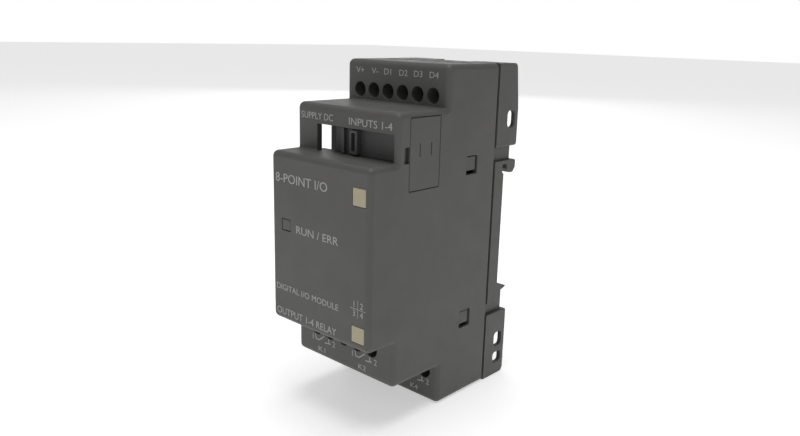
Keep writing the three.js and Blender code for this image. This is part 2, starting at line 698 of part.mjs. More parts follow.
function mountingSlideBottom() {
  const { plate, eyelet } = slidePlate(BOTTOM_SLIDE_HEIGHTS, EYELET_INSET);
  const head = sideExtrusion(roundedOutline(LOCK_HEAD), RIDGE_X, 0);
  return toGeometry(join([plate, head, ...ridges(BOTTOM_RIDGES_START)]).subtract(eyelet));
}

// A terminal screw: slotted head in front, shank behind. Its own origin is the middle of the head's front.
function terminalScrew() {
  const end = SCREW_HEAD_LENGTH + SCREW_SHANK_LENGTH;
  const profile = [
    [0, 0],
    [SCREW_HEAD_RADIUS, 0],
    [SCREW_HEAD_RADIUS, SCREW_HEAD_LENGTH],
    [SCREW_SHANK_RADIUS, SCREW_HEAD_LENGTH],
    [SCREW_SHANK_RADIUS, end - SCREW_TIP_CHAMFER],
    [SCREW_SHANK_RADIUS - SCREW_TIP_CHAMFER, end],
    [0, end],
  ].map(([radius, along]) => new THREE.Vector2(radius, along));
  const turned = toSolid(new THREE.LatheGeometry(profile, LATHE_SEGMENTS));
  const slot = new THREE.BoxGeometry(PAST, 2 * SCREW_SLOT_DEPTH, SCREW_SLOT_WIDTH);
  return toGeometry(turned.subtract(toSolid(slot)));
}

// A clamp cage: the wire goes through its window, and the screw through its front wall pulls it tight.
function clampCage() {
  const [width, length, height] = CAGE_SIZE;
  const body = toSolid(new THREE.BoxGeometry(width, length, height).translate(0, length / 2, 0));
  const windowMiddle = CAGE_FRONT_WALL + CAGE_WINDOW[1] / 2;
  const opening = new THREE.BoxGeometry(CAGE_WINDOW[0], CAGE_WINDOW[1], height + PAST);
  const thread = new THREE.CylinderGeometry(CAGE_THREAD_RADIUS, CAGE_THREAD_RADIUS, PAST, HOLE_SEGMENTS);
  return toGeometry(cut(body, [toSolid(opening.translate(0, windowMiddle, 0)), toSolid(thread)]));
}

// A moulded comb whose walls keep the cages of one row apart.
function terminalBlock(row) {
  const side = row.up ? -1 : 1;
  const halfCage = CAGE_SIZE[2] / 2;
  const nearFloor = row.z + side * (halfCage + COMB_WALL);
  const farFloor = nearFloor + side * COMB_FLOOR;
  const wallEnd = row.z - side * halfCage;
  const depths = [cageFront(row) - COMB_FRONT_MARGIN, cageFront(row) + CAGE_SIZE[1] + LAP];
  const middle = (row.holes[0] + row.holes[row.holes.length - 1]) / 2;
  const partitions = centredRow(row.holes.length + 1, PITCH, middle);
  const span = grown([partitions[0], partitions[partitions.length - 1]], COMB_WALL / 2);
  return toGeometry(join([
    box(span, depths, sorted(nearFloor, farFloor)),
    ...partitions.map((x) => box(grown([x, x], COMB_WALL / 2), depths, sorted(wallEnd, farFloor))),
  ]));
}

const model = new THREE.Group();

function add(name, geometry, look, position) {
  const mesh = new THREE.Mesh(geometry, look);
  mesh.name = name;
  if (position) {
    mesh.position.set(...position);
  }
  model.add(mesh);
}

const shellLook = material(plastic, 0.62, 0);
const insideLook = material(deepPlastic, 0.7, 0);
const labelLook = material(cream, 0.55, 0);
const steelLook = material(new THREE.Color(0xb9bcc0), 0.35, 1);
const brassLook = material(new THREE.Color(0xb9a46a), 0.4, 1);
const boardLook = material(new THREE.Color(0x2f6b45), 0.5, 0);
const relayLook = material(new THREE.Color(0x22262b), 0.45, 0);
const chipLook = material(new THREE.Color(0x18191b), 0.55, 0);
const clearLook = material(new THREE.Color(0xd8dcd6), 0.2, 0);

add('front_housing', frontHousing(), shellLook);
add('rear_base', rearBase(), shellLook);
add('expansion_cover', expansionCover(), shellLook);
add('interlock_slider', interlockSlider(), insideLook);
add('bus_plug', busPlug(), insideLook);
add('expansion_socket', expansionSocket(), insideLook);
add('mounting_slide_top', mountingSlideTop(), shellLook);
add('mounting_slide_bottom', mountingSlideBottom(), shellLook);

Object.entries(LABEL_HEIGHTS).forEach(([place, heights]) => {
  add(`label_plate_${place}`, boxGeometry(LABEL_X, [0, LABEL_THICKNESS], heights), labelLook);
});

ROWS.forEach((row) => {
  add(`terminal_block_${row.name}`, terminalBlock(row), insideLook);
  row.used.forEach((x, index) => {
    const number = index + 1;
    add(`terminal_screw_${row.name}_${number}`, terminalScrew(), steelLook,
      [x, rowY(row.face + SCREW_HEAD_SETBACK), row.z]);
    add(`clamp_cage_${row.name}_${number}`, clampCage(), brassLook, [x, rowY(cageFront(row)), row.z]);
  });
});

// Boards: each stands upright across the block, between limits on X and on Z.
const BOARDS = {
  main_board: { x: [-15.4, 15.4], depth: MAIN_BOARD_DEPTH, z: [24.6, 61.4] },
  terminal_board: { x: [-14.5, 14.5], depth: TERMINAL_BOARD_DEPTH, z: [3, 87] },
  bus_board: { x: [-15.2, 15.2], depth: BUS_BOARD_DEPTH, z: SOCKET_HEIGHTS },
};
Object.entries(BOARDS).forEach(([name, { x, depth, z }]) => {
  add(name, boxGeometry(x, [depth, depth + BOARD_THICKNESS], z), boardLook);
});

// What sits on the boards.
const RELAY_X = [-4.9, 6.1];
const RELAY_Z = [30.9, 51.9];
const HEADER = { x: [-14.4, -11.9], z: [42, 60] };
const CHIP = { x: [-2, 8], thickness: 1.4, z: [35, 45] };
const CAPACITOR = { x: -9, z: 69.5, radius: 4, length: 10.5 };

RELAY_Z.forEach((z, level) => {
  RELAY_X.forEach((x, column) => {
    const depths = [TERMINAL_BOARD_DEPTH - RELAY_SIZE[1], TERMINAL_BOARD_DEPTH];
    const heights = grown([z, z], RELAY_SIZE[2] / 2);
    const geometry = boxGeometry(grown([x, x], RELAY_SIZE[0] / 2), depths, heights);
    add(`relay_${2 * level + column + 1}`, geometry, relayLook);
  });
});

const headerDepths = [MAIN_BOARD_DEPTH + BOARD_THICKNESS, TERMINAL_BOARD_DEPTH];
add('board_header', boxGeometry(HEADER.x, headerDepths, HEADER.z), chipLook);
const chipDepths = [MAIN_BOARD_DEPTH - CHIP.thickness, MAIN_BOARD_DEPTH];
add('microcontroller', boxGeometry(CHIP.x, chipDepths, CHIP.z), chipLook);
const capacitor = new THREE.CylinderGeometry(
  CAPACITOR.radius, CAPACITOR.radius, CAPACITOR.length, LATHE_SEGMENTS,
);
const capacitorY = rowY(TERMINAL_BOARD_DEPTH - CAPACITOR.length / 2);
add('capacitor', capacitor, chipLook, [CAPACITOR.x, capacitorY, CAPACITOR.z]);

// Light pipe from the front window to the lamp on the main board.
const PIPE_DEPTHS = [0.1, 14.2];
const LAMP_DEPTHS = [14.4, MAIN_BOARD_DEPTH];
const LAMP_MARGIN = 0.3;
add('light_pipe', boxGeometry(LAMP_X, PIPE_DEPTHS, LAMP_Z), clearLook);
add('status_lamp', boxGeometry(grown(LAMP_X, -LAMP_MARGIN), LAMP_DEPTHS, LAMP_Z), clearLook);

export default model;
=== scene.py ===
"""Looks of a stepped expansion block for a small controller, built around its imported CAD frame.

Lengths are written in millimetres as x (right), depth (from the front face towards the rail) and
z (up), and become metres where a mesh is made. Limits are (low, high).
"""

import json
import math

import bmesh
import bpy
from mathutils import Matrix, Vector


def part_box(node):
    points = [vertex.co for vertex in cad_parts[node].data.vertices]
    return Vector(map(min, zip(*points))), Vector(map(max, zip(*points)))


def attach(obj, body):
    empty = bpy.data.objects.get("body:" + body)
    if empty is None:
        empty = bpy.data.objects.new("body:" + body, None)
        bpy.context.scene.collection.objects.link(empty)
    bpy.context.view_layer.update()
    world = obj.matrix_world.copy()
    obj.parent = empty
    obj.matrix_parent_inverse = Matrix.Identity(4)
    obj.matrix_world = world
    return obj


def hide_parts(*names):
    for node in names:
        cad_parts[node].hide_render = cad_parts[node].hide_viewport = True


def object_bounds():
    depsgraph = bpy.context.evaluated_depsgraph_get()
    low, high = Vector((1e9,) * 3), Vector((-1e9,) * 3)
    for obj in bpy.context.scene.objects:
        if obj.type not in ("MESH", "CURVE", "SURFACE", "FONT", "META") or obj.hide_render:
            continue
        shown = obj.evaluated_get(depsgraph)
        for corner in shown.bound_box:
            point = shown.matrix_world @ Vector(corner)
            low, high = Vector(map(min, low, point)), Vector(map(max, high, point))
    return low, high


MM = 0.001

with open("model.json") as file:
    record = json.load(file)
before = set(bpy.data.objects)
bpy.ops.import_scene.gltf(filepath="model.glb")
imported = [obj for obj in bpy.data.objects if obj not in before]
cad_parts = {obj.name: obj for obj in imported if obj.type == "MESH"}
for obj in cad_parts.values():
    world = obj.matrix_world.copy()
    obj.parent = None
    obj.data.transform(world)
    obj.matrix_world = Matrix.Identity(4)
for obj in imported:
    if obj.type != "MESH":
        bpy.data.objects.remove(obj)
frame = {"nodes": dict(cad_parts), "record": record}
CAD_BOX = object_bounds()
BODIES = frame["record"]["behaviour"]["bodies"]
BODY_OF = {node: body for body, nodes in BODIES.items() for node in nodes}


def limits_of(node):
    """Limits of a CAD node as ((x), (depth), (z)), in the block's millimetres."""
    low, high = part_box(node)
    (x0, y0, z0), (x1, y1, z1) = low / MM, high / MM
    front = CAD_BOX[0].y / MM
    return (x0, x1), (y0 - front, y1 - front), (z0, z1)


# Driving dimensions: the outside comes from the frame, the steps and walls are the moulded shell's.
HALF_WIDTH = (CAD_BOX[1].x - CAD_BOX[0].x) / MM / 2
HEIGHT = (CAD_BOX[1].z - CAD_BOX[0].z) / MM
DEPTH = (CAD_BOX[1].y - CAD_BOX[0].y) / MM
FRONT_Y = CAD_BOX[0].y / MM
HOUSING_REAR = limits_of("front_housing")[1][1]
SEAM_GAP = 0.7
BASE_FRONT = HOUSING_REAR + SEAM_GAP
PRINT_ROOM = 0.05
MID_DEPTH = 8.8
BACK_DEPTH = 26.5
BACK_RISE = 10.7
FRONT_RISE = 22.5
MID_TOP = HEIGHT - BACK_RISE
FRONT_TOP = HEIGHT - FRONT_RISE
WALL = 1.6
SIDE_WALL = 1.4
CAVITY = HALF_WIDTH - SIDE_WALL
EDGE = 1.5
CREASE = 0.3
PAST = 4.0
RIM = 0.25
STEPS = 5

# Planes: which axis runs across, which up and which outwards, and the sign of outwards.
X, D, Z = 0, 1, 2
PLANES = {
    "front": (X, Z, D, -1), "rear": (X, Z, D, 1), "right": (D, Z, X, 1),
    "left": (D, Z, X, -1), "top": (X, D, Z, 1), "bottom": (X, D, Z, -1),
}


def metres(point):
    """A point (x, depth, z) in the frame's metres."""
    return Vector((point[X] * MM, (point[D] + FRONT_Y) * MM, point[Z] * MM))


def grown(limits, by):
    return (limits[0] - by, limits[1] + by)


def mirrored(limits):
    """Limits on x of the same feature on the other side."""
    return (-limits[1], -limits[0])


def middle(limits):
    return (limits[0] + limits[1]) / 2


# Outlines: functions that give the outline moved inwards by an inset, always with as many points.
def cornered(corners, steps=STEPS):
    """An outline with rounded corners (across, up, radius), listed counterclockwise."""
    def outline(inset):
        points = []
        for i, (a, b, radius) in enumerate(corners):
            here = Vector((a, b))
            before = (here - Vector(corners[i - 1][:2])).normalized()
            after = (Vector(corners[(i + 1) % len(corners)][:2]) - here).normalized()
            inward = Vector((-before.y, before.x))
            inward_after = Vector((-after.y, after.x))
            corner = here + (inward + inward_after) * (inset / (1 + inward.dot(inward_after)))
            turn = math.atan2(before.cross(after), before.dot(after))
            side = 1 if turn > 0 else -1
            r = max(radius - side * inset, 0.01)
            start = corner - before * (r * math.tan(abs(turn) / 2))
            centre = start + inward * (r * side)
            arm = start - centre
            for k in range(steps + 1):
                points.append(centre + Matrix.Rotation(turn * k / steps, 2) @ arm)
        return points
    return outline


def rounded(across, up, radius, steps=STEPS):
    (a0, a1), (b0, b1) = across, up
    return cornered([(a0, b0, radius), (a1, b0, radius), (a1, b1, radius), (a0, b1, radius)], steps)


def circle(a, b, radius, count=40):
    def outline(inset):
        turns = [2 * math.pi * k / count for k in range(count)]
        r = radius - inset
        return [Vector((a + r * math.cos(t), b + r * math.sin(t))) for t in turns]
    return outline


# Rings: how far out a section lies, and how far it is moved inwards.
def quarter(radius, steps=STEPS):
    """(along, inset) from the end of a convex rounding to its straight part."""
    turns = [math.pi / 2 * k / steps for k in range(steps + 1)]
    return [(radius * (1 - math.cos(t)), radius * (1 - math.sin(t))) for t in turns]


def soft_ends(low, high, radius, steps=STEPS):
    """A bar with both ends rounded."""
    start = [(low + along, inset) for along, inset in quarter(radius, steps)]
    end = [(high - along, inset) for along, inset in reversed(quarter(radius, steps))]
    return start + end


def flat_ends(low, high):
    return [(low, 0), (high, 0)]


def flared(surface, bottom, rim=RIM):
    """A cutter from above a surface down to a bottom, whose mouth leaves a rounded rim."""
    mouth = [(surface + 1, -rim)]
    mouth += [(surface - along, -inset) for along, inset in quarter(rim, 4)]
    return mouth + [(bottom, 0)]


def side_faces(rings, count):
    """The faces between rings of count points each."""
    faces = []
    for ring in range(rings - 1):
        for k in range(count):
            a, b = ring * count + k, ring * count + (k + 1) % count
            faces.append((a, b, b + count, a + count))
    return faces


# A closed body is (points, faces), with points in the block's millimetres.
def prism(plane, outline, rings):
    """A body that follows an outline through rings of (distance outwards, inset)."""
    across, up, out, sign = PLANES[plane]
    points = []
    for distance, inset in rings:
        for p in outline(inset):
            point = [0.0, 0.0, 0.0]
            point[across], point[up], point[out] = p[0], p[1], distance * sign
            points.append(point)
    count = len(points) // len(rings)
    faces = side_faces(len(rings), count)
    faces.append(tuple(reversed(range(count))))
    faces.append(tuple(range(len(points) - count, len(points))))
    return points, faces


def block(x, depth, z, radius=0.15, steps=3):
    """A box with every edge rounded."""
    return prism("rear", rounded(x, z, radius, steps), soft_ends(*depth, radius, steps))


def plain_block(x, depth, z):
    """A box with sharp edges, for cutting."""
    return prism("rear", rounded(x, z, 0.01, 1), flat_ends(*depth))


def add_object(name, data):
    obj = bpy.data.objects.new(name, data)
    bpy.context.scene.collection.objects.link(obj)
    return obj


def make(name, bodies):
    """An object whose mesh holds the given closed bodies."""
    bm = bmesh.new()
    for points, faces in bodies:
        verts = [bm.verts.new(metres(p)) for p in points]
        for face in faces:
            bm.faces.new([verts[i] for i in face])
    bmesh.ops.recalc_face_normals(bm, faces=bm.faces)
    mesh = bpy.data.meshes.new(name)
    bm.to_mesh(mesh)
    bm.free()
    return add_object(name, mesh)


def bake_modifiers(obj):
    """Replaces obj's mesh by what its modifiers make of it."""
    bpy.context.view_layer.update()
    evaluated = obj.evaluated_get(bpy.context.evaluated_depsgraph_get())
    mesh = bpy.data.meshes.new_from_object(evaluated)
    obj.modifiers.clear()
    old, obj.data = obj.data, mesh
    bpy.data.meshes.remove(old)
    mesh.name = obj.name


def combine_objects(obj, tools, operation):
    """Joins or cuts obj with finished objects, which are then removed."""
    for tool in tools:
        step = obj.modifiers.new("step", "BOOLEAN")
        step.operation, step.solver, step.object = operation, "MANIFOLD", tool
    bake_modifiers(obj)
    for tool in tools:
        bpy.data.objects.remove(tool)


def combine(obj, groups, operation):
    """Joins or cuts obj with groups of closed bodies; the bodies of one group don't overlap."""
    combine_objects(obj, [make("tool", bodies) for bodies in groups], operation)


def join(obj, *groups):
    combine(obj, groups, "UNION")


def cut(obj, *groups):
    combine(obj, groups, "DIFFERENCE")


SHARP = math.radians(40)
SMOOTH_BELOW = math.radians(32)


def soften(obj, width, chosen):
    """Rounds the chosen ones of the sharp edges."""
    bm = bmesh.new()
    bm.from_mesh(obj.data)
    edges = []
    for edge in bm.edges:
        if len(edge.link_faces) != 2 or edge.calc_face_angle(0) < SHARP:
            continue
        ends = [v.co / MM - Vector((0, FRONT_Y, 0)) for v in edge.verts]
        if chosen(*ends):
            edges.append(edge)
    bmesh.ops.bevel(bm, geom=edges, offset=width * MM, segments=2, affect="EDGES",
                    clamp_overlap=True)
    bm.to_mesh(obj.data)
    bm.free()


def finish_piece(obj, look, body, replaces=()):
    """Gives obj its material, smooth shading, slot and body, and hides the CAD nodes it stands for."""
    mesh = obj.data
    mesh.materials.clear()
    mesh.materials.append(look)
    mesh.shade_smooth()
    mesh.set_sharp_from_angle(angle=SMOOTH_BELOW)
    smooth = obj.modifiers.new("smooth", "WEIGHTED_NORMAL")
    smooth.keep_sharp = True
    smooth.weight = 100
    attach(obj, body)
    if replaces:
        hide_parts(*replaces)
    return obj


# Camera at the angle of the picture: turn, tilt, roll and distance round a point in the block.
CAMERA_AIM = (0.0, 26.0, 45.0)
CAMERA_TURN = 42.407
CAMERA_TILT = 14.099
CAMERA_ROLL = 1.526
CAMERA_DISTANCE = 199.427
CAMERA_ACROSS = 2.608
CAMERA_UP = 3.5
CAMERA_LENS = 33.176
CAMERA_SENSOR = 36.0
CAMERA_CLIP = (0.01, 20)


def make_camera():
    turn, tilt, roll = (math.radians(v) for v in (CAMERA_TURN, CAMERA_TILT, CAMERA_ROLL))
    back = Vector((math.sin(turn) * math.cos(tilt), -math.cos(turn) * math.cos(tilt), math.sin(tilt)))
    level = Vector((math.cos(turn), math.sin(turn), 0))
    upright = back.cross(level)
    right = level * math.cos(roll) + upright * math.sin(roll)
    up = upright * math.cos(roll) - level * math.sin(roll)
    place = metres(CAMERA_AIM) + (back * CAMERA_DISTANCE + right * CAMERA_ACROSS + up * CAMERA_UP) * MM
    data = bpy.data.cameras.new("camera")
    data.lens, data.sensor_width, data.sensor_fit = CAMERA_LENS, CAMERA_SENSOR, "HORIZONTAL"
    data.clip_start, data.clip_end = CAMERA_CLIP
    camera = add_object("camera", data)
    camera.matrix_world = Matrix.Translation(place) @ Matrix((right, up, back)).transposed().to_4x4()
    bpy.context.scene.camera = camera


make_camera()


# Materials.
class Nodes:
    """Short names for building one material's node tree."""

    def __init__(self, name):
        self.material = bpy.data.materials.new(name)
        self.material.use_nodes = True
        self.tree = self.material.node_tree
        self.shader = self.tree.nodes["Principled BSDF"]
        self.place = self.add("ShaderNodeTexCoord").outputs["Object"]

    def add(self, kind, **values):
        """A node with some of its properties or inputs set."""
        node = self.tree.nodes.new(kind)
        for key, value in values.items():
            if hasattr(node, key):
                setattr(node, key, value)
            else:
                node.inputs[key.replace("_", " ").title()].default_value = value
        return node

    def link(self, source, target):
        self.tree.links.new(source, target)
        return target

    def noise(self, scale, detail=2.0, roughness=0.5, place=None):
        node = self.add("ShaderNodeTexNoise", scale=scale, detail=detail, roughness=roughness)
        self.link(place or self.place, node.inputs["Vector"])
        return node.outputs["Fac"]

    def cells(self, scale):
        node = self.add("ShaderNodeTexVoronoi", scale=scale)
        self.link(self.place, node.inputs["Vector"])
        return node.outputs["Distance"]

    def spread(self, value, low, high, start=0.0, end=1.0):
        """Maps value from start..end to low..high."""
        node = self.add("ShaderNodeMapRange")
        self.link(value, node.inputs["Value"])
        for name, number in (("From Min", start), ("From Max", end), ("To Min", low), ("To Max", high)):
            node.inputs[name].default_value = number
        return node.outputs["Result"]

    def feed(self, value, socket):
        """Links a node's output to a socket, or sets the socket to a number or a color."""
        if isinstance(value, bpy.types.NodeSocket):
            self.link(value, socket)
        elif isinstance(value, (int, float)):
            socket.default_value = value
        else:
            socket.default_value = (*value, 1)

    def mix(self, factor, first, second):
        node = self.add("ShaderNodeMix", data_type="RGBA")
        for place, value in ((0, factor), (6, first), (7, second)):
            self.feed(value, node.inputs[place])
        return node.outputs[2]

    def math(self, operation, first, second=0.0):
        node = self.add("ShaderNodeMath", operation=operation)
        for socket, value in zip(node.inputs, (first, second)):
            self.feed(value, socket)
        return node.outputs[0]

    def edges(self, radius):
        """1 on edges and 0 on flat faces."""
        bevel = self.add("ShaderNodeBevel", samples=4, radius=radius * MM)
        plain = self.add("ShaderNodeNewGeometry").outputs["Normal"]
        product = self.add("ShaderNodeVectorMath", operation="DOT_PRODUCT")
        self.link(bevel.outputs["Normal"], product.inputs[0])
        self.link(plain, product.inputs[1])
        return self.spread(product.outputs["Value"], 1.0, 0.0, 0.86, 0.995)

    def bump(self, height, distance, strength=1.0, below=None):
        node = self.add("ShaderNodeBump", distance=distance * MM, strength=strength)
        self.link(height, node.inputs["Height"])
        if below is not None:
            self.link(below, node.inputs["Normal"])
        return node.outputs["Normal"]

    def socket(self, name):
        return self.shader.inputs[name]


# Noise scales per metre, and the middle of a noise's range.
FLOW_CLOUDS, FLECKS, WEAR_AND_HIGHLIGHT_PATCHES, DULL, SINKS = 45, 5200, 900, 160, 30
PITS, GRAIN = 3600, 7800
PLATING, DRAWN_LINES, DRAWN = 700, 4, (300, 6000, 300)
INK_COVER, FROST = 3500, 1800
TRACKS, LACQUER = 260, 240
MIDRANGE = (0.3, 0.7)
PLASTIC_EDGE, METAL_EDGE = 0.35, 0.12


def tint(color, by):
    return tuple(min(1.0, c * by) for c in color)


def moulded(name, color, roughness=0.55, grain=0.012, wear_and_highlight_tint=1.25):
    """Moulded plastic: spark-eroded grain, faint flow clouds, edges painted a little lighter, partly as
    rubbed wear and partly as a painted highlight.
    """
    n = Nodes(name)
    clouds = n.noise(FLOW_CLOUDS, 3, 0.6)
    base = n.mix(n.spread(clouds, 0, 1, *MIDRANGE), tint(color, 0.95), tint(color, 1.06))
    fleck = n.spread(n.noise(FLECKS, 1), 0, 1, 0.35, 0.65)
    speckled = n.mix(n.math("MULTIPLY", fleck, 0.25), base, tint(color, 1.22))
    # Painted highlight: rounded edges are mixed lighter in patches, partly as rubbed wear and partly to stand
    # in for light shining on them.
    wear_and_highlight_edges = n.math("MULTIPLY", n.edges(PLASTIC_EDGE), n.spread(n.noise(WEAR_AND_HIGHLIGHT_PATCHES, 3), 0.2, 0.9, *MIDRANGE))
    n.link(n.mix(wear_and_highlight_edges, speckled, tint(color, wear_and_highlight_tint)), n.socket("Base Color"))
    dull = n.spread(n.noise(DULL, 4, 0.6), roughness - 0.05, roughness + 0.06, *MIDRANGE)
    n.link(dull, n.socket("Roughness"))
    pits = n.cells(PITS)
    fine = n.noise(GRAIN, 3, 0.6)
    height = n.math("ADD", n.math("MULTIPLY", pits, 0.7), fine)
    coarse = n.bump(n.noise(SINKS, 2), 0.02, 0.6)
    n.link(n.bump(height, grain, 0.9, coarse), n.socket("Normal"))
    n.socket("Specular IOR Level").default_value = 0.42
    return n.material


def metal(name, color, roughness):
    """Plated metal: fine drawn lines, cloudy plating, dull patches, edges painted lighter, partly as rubbed
    plating and partly as a painted highlight.
    """
    n = Nodes(name)
    n.socket("Metallic").default_value = 1.0
    stretch = n.add("ShaderNodeMapping", scale=DRAWN)
    n.link(n.place, stretch.inputs["Vector"])
    lines = n.noise(DRAWN_LINES, 3, 0.7, stretch.outputs["Vector"])
    clouds = n.noise(PLATING, 3)
    tone = n.mix(n.spread(clouds, 0, 1, *MIDRANGE), tint(color, 0.82), color)
    # Painted highlight: edges are mixed lighter all along, partly as rubbed plating and partly to stand in
    # for light shining on them.
    wear_and_highlight_edges = n.math("MULTIPLY", n.edges(METAL_EDGE), 0.6)
    n.link(n.mix(wear_and_highlight_edges, tone, tint(color, 1.25)), n.socket("Base Color"))
    n.link(n.spread(n.math("ADD", lines, clouds), roughness - 0.1, roughness + 0.15, 0.6, 1.4),
           n.socket("Roughness"))
    n.link(n.bump(lines, 0.004, 0.6), n.socket("Normal"))
    return n.material


def printed(name, color):
    """Screen-printed ink with slightly uneven cover."""
    n = Nodes(name)
    cover = n.spread(n.noise(INK_COVER, 3, 0.7), 0, 1, *MIDRANGE)
    n.link(n.mix(cover, tint(color, 0.8), tint(color, 1.05)), n.socket("Base Color"))
    n.link(n.spread(cover, 0.5, 0.66), n.socket("Roughness"))
    n.link(n.bump(cover, 0.003, 0.5), n.socket("Normal"))
    return n.material


def solder_mask(name, color):
    """Board lacquer over faint copper tracks."""
    n = Nodes(name)
    brick = n.add("ShaderNodeTexBrick", scale=TRACKS, mortar_size=0.035)
    turned = n.add("ShaderNodeMapping", rotation=(math.pi / 2, 0, 0))
    n.link(n.place, turned.inputs["Vector"])
    n.link(turned.outputs["Vector"], brick.inputs["Vector"])
    tracks = n.mix(brick.outputs["Fac"], color, tint(color, 1.7))
    n.link(n.mix(n.spread(n.noise(LACQUER, 3), 0, 0.5), tracks, tint(color, 0.7)), n.socket("Base Color"))
    n.socket("Roughness").default_value = 0.32
    n.link(n.bump(brick.outputs["Fac"], 0.03, 0.5), n.socket("Normal"))
    return n.material


def clear_plastic(name, color):
    """Clear moulded light pipe, frosted at its face."""
    n = Nodes(name)
    n.socket("Base Color").default_value = (*color, 1)
    n.socket("Transmission Weight").default_value = 0.45
    n.socket("IOR").default_value = 1.49
    frost = n.noise(FROST, 3)
    n.link(n.spread(frost, 0.22, 0.4), n.socket("Roughness"))
    n.link(n.bump(frost, 0.006, 0.5), n.socket("Normal"))
    return n.material


SHELL = (0.088, 0.087, 0.084)
# Painted highlight: the slider's edges, the eyelet ring's among them, are mixed far lighter, partly as wear
# and mostly to stand in for light shining on the ring.
SLIDER_EDGE_HIGHLIGHT_AND_WEAR = 2.8
# Material slot: kind and colour, then roughness and, for plastics, grain and how much lighter the edges are
# painted (partly wear, partly painted highlight).
SLOTS = {
    "housing_plastic": (moulded, SHELL),
    "slider_plastic": (moulded, (0.07, 0.068, 0.068), 0.5, 0.008, SLIDER_EDGE_HIGHLIGHT_AND_WEAR),
    "contact_block": (moulded, (0.02, 0.02, 0.021), 0.5, 0.008),
    "label_cream": (moulded, (0.4, 0.355, 0.24), 0.42, 0.004, 1.08),
    "screw_steel": (metal, (0.55, 0.56, 0.58), 0.36),
    "clamp_metal": (metal, (0.6, 0.52, 0.32), 0.38),
    "circuit_board": (solder_mask, (0.03, 0.15, 0.06)),
    "relay_case": (moulded, (0.02, 0.022, 0.026), 0.34, 0.006),
    "chip_black": (moulded, (0.012, 0.012, 0.013), 0.45, 0.006),
    "light_pipe_clear": (clear_plastic, (0.10, 0.10, 0.095)),
}
LOOKS = {slot: kind(slot, *values) for slot, (kind, *values) in SLOTS.items()}
INK = printed("label_ink", (0.4, 0.4, 0.39))
GOLD = metal("contact_gold", (0.75, 0.55, 0.22), 0.3)


def finish(obj, slot, node, *more):
    """Dresses obj, which stands for a CAD node and perhaps more of the same body."""
    return finish_piece(obj, LOOKS[slot], BODY_OF[node], (node, *more))


def row_of(name, count, face, up):
    """A terminal row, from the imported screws: used holes, all holes, and whether wires enter from above."""
    screws = [limits_of(f"terminal_screw_{name}_{i + 1}") for i in range(count)]
    used = [middle(s[0]) for s in screws]
    spare = [] if up else [(used[1] + used[2]) / 2]
    return {"name": name, "face": face, "z": middle(screws[0][2]), "used": used, "holes": used + spare,
            "up": up}


ROWS = [row_of("top", 6, BACK_DEPTH, True), row_of("middle", 4, MID_DEPTH, False),
        row_of("bottom", 4, BACK_DEPTH, False)]
HOLE_RADIUS = 2.0
HOLE_RIM = 0.12
GUIDE = 5.0
GUIDE_HALF = HOLE_RADIUS + 0.3
WIRE_HALF = 1.9
CAGE_START = 9.8
CAGE_WALL = 1.6
CAGE_GAP = 3.4


def shell_corners(inset_front, rear):
    """Side outline of the outer shell, counterclockwise in depth and height."""
    f, r, c = inset_front, EDGE + 0.1, CREASE
    return [
        (BACK_DEPTH, 0, r), (rear, 0, 0.3), (rear, HEIGHT, 0.3), (BACK_DEPTH, HEIGHT, r),
        (BACK_DEPTH, MID_TOP, c), (MID_DEPTH, MID_TOP, r), (MID_DEPTH, FRONT_TOP, c), (f, FRONT_TOP, r),
        (f, FRONT_RISE, r), (MID_DEPTH, FRONT_RISE, c), (MID_DEPTH, BACK_RISE, r), (BACK_DEPTH, BACK_RISE, c),
    ]


def guide_corners(row, wall_depth):
    """Corners of the hollow where it passes the thick screw guides of a row, from above to below."""
    high, low, deep = row["z"] + GUIDE_HALF, row["z"] - GUIDE_HALF, row["face"] + GUIDE
    return [(wall_depth, high, 0.2), (deep, high, 0.2), (deep, low, 0.2), (wall_depth, low, 0.2)]


def hollow_corners(rear):
    """Side outline of the shell's inside, round the steps and the screw guides."""
    back, mid = BACK_DEPTH + WALL, MID_DEPTH + WALL
    top, centre, bottom = ROWS
    r = 0.3
    return [
        (back, WALL, r), (rear, WALL, r), (rear, HEIGHT - WALL, r), (back, HEIGHT - WALL, r),
        *guide_corners(top, back), (back, MID_TOP - WALL, r), (mid, MID_TOP - WALL, r),
        (mid, FRONT_TOP - WALL, r), (WALL, FRONT_TOP - WALL, r), (WALL, FRONT_RISE + WALL, r),
        (mid, FRONT_RISE + WALL, r), *guide_corners(centre, mid), (mid, BACK_RISE + WALL, r),
        (back, BACK_RISE + WALL, r), *guide_corners(bottom, back),
    ]


COVER = limits_of("expansion_cover")
COVER_GAP = 0.15
COVER_REBATE = 1.2
COVER_DEPTHS = grown(COVER[D], COVER_GAP)
COVER_HEIGHTS = grown(COVER[Z], COVER_GAP)
LATCH_DEPTHS = (34.9, 39.4)
LATCH_HEIGHTS = ((61.9, 66.8), (19.55, 24.35))
LATCH_TAB = 3.7
WINDOW_X = (-10.1, 16.7)
WINDOW_TOP = 74.3
COUPLING_DEPTHS = (14.1, 22.8)
COUPLING_HEIGHTS = (61.6, 76.9)
PRY_NOTCH = ((11.1, 13.6), (67.3, 71.2))
PRY_NOTCH_DEEP = 1.1
SMALL_RIM = 0.15
# Behind the window: ledge, rib, and bosses round the coupling openings.
FRAME_X = (WINDOW_X[0] - 1.4, CAVITY + 0.5)
LEDGE_DEPTHS = (MID_DEPTH + 0.3, 12.4)
RIB_DEPTHS = (12.3, 13.3)
RIB_BOTTOM = 75.0
FRAME_TOP = MID_TOP - 0.8
BOSS_X = (CAVITY - 1, CAVITY + 0.7)
BOSS_ROOM = 0.5
SEAM_EDGE = 0.18
FAR = 40


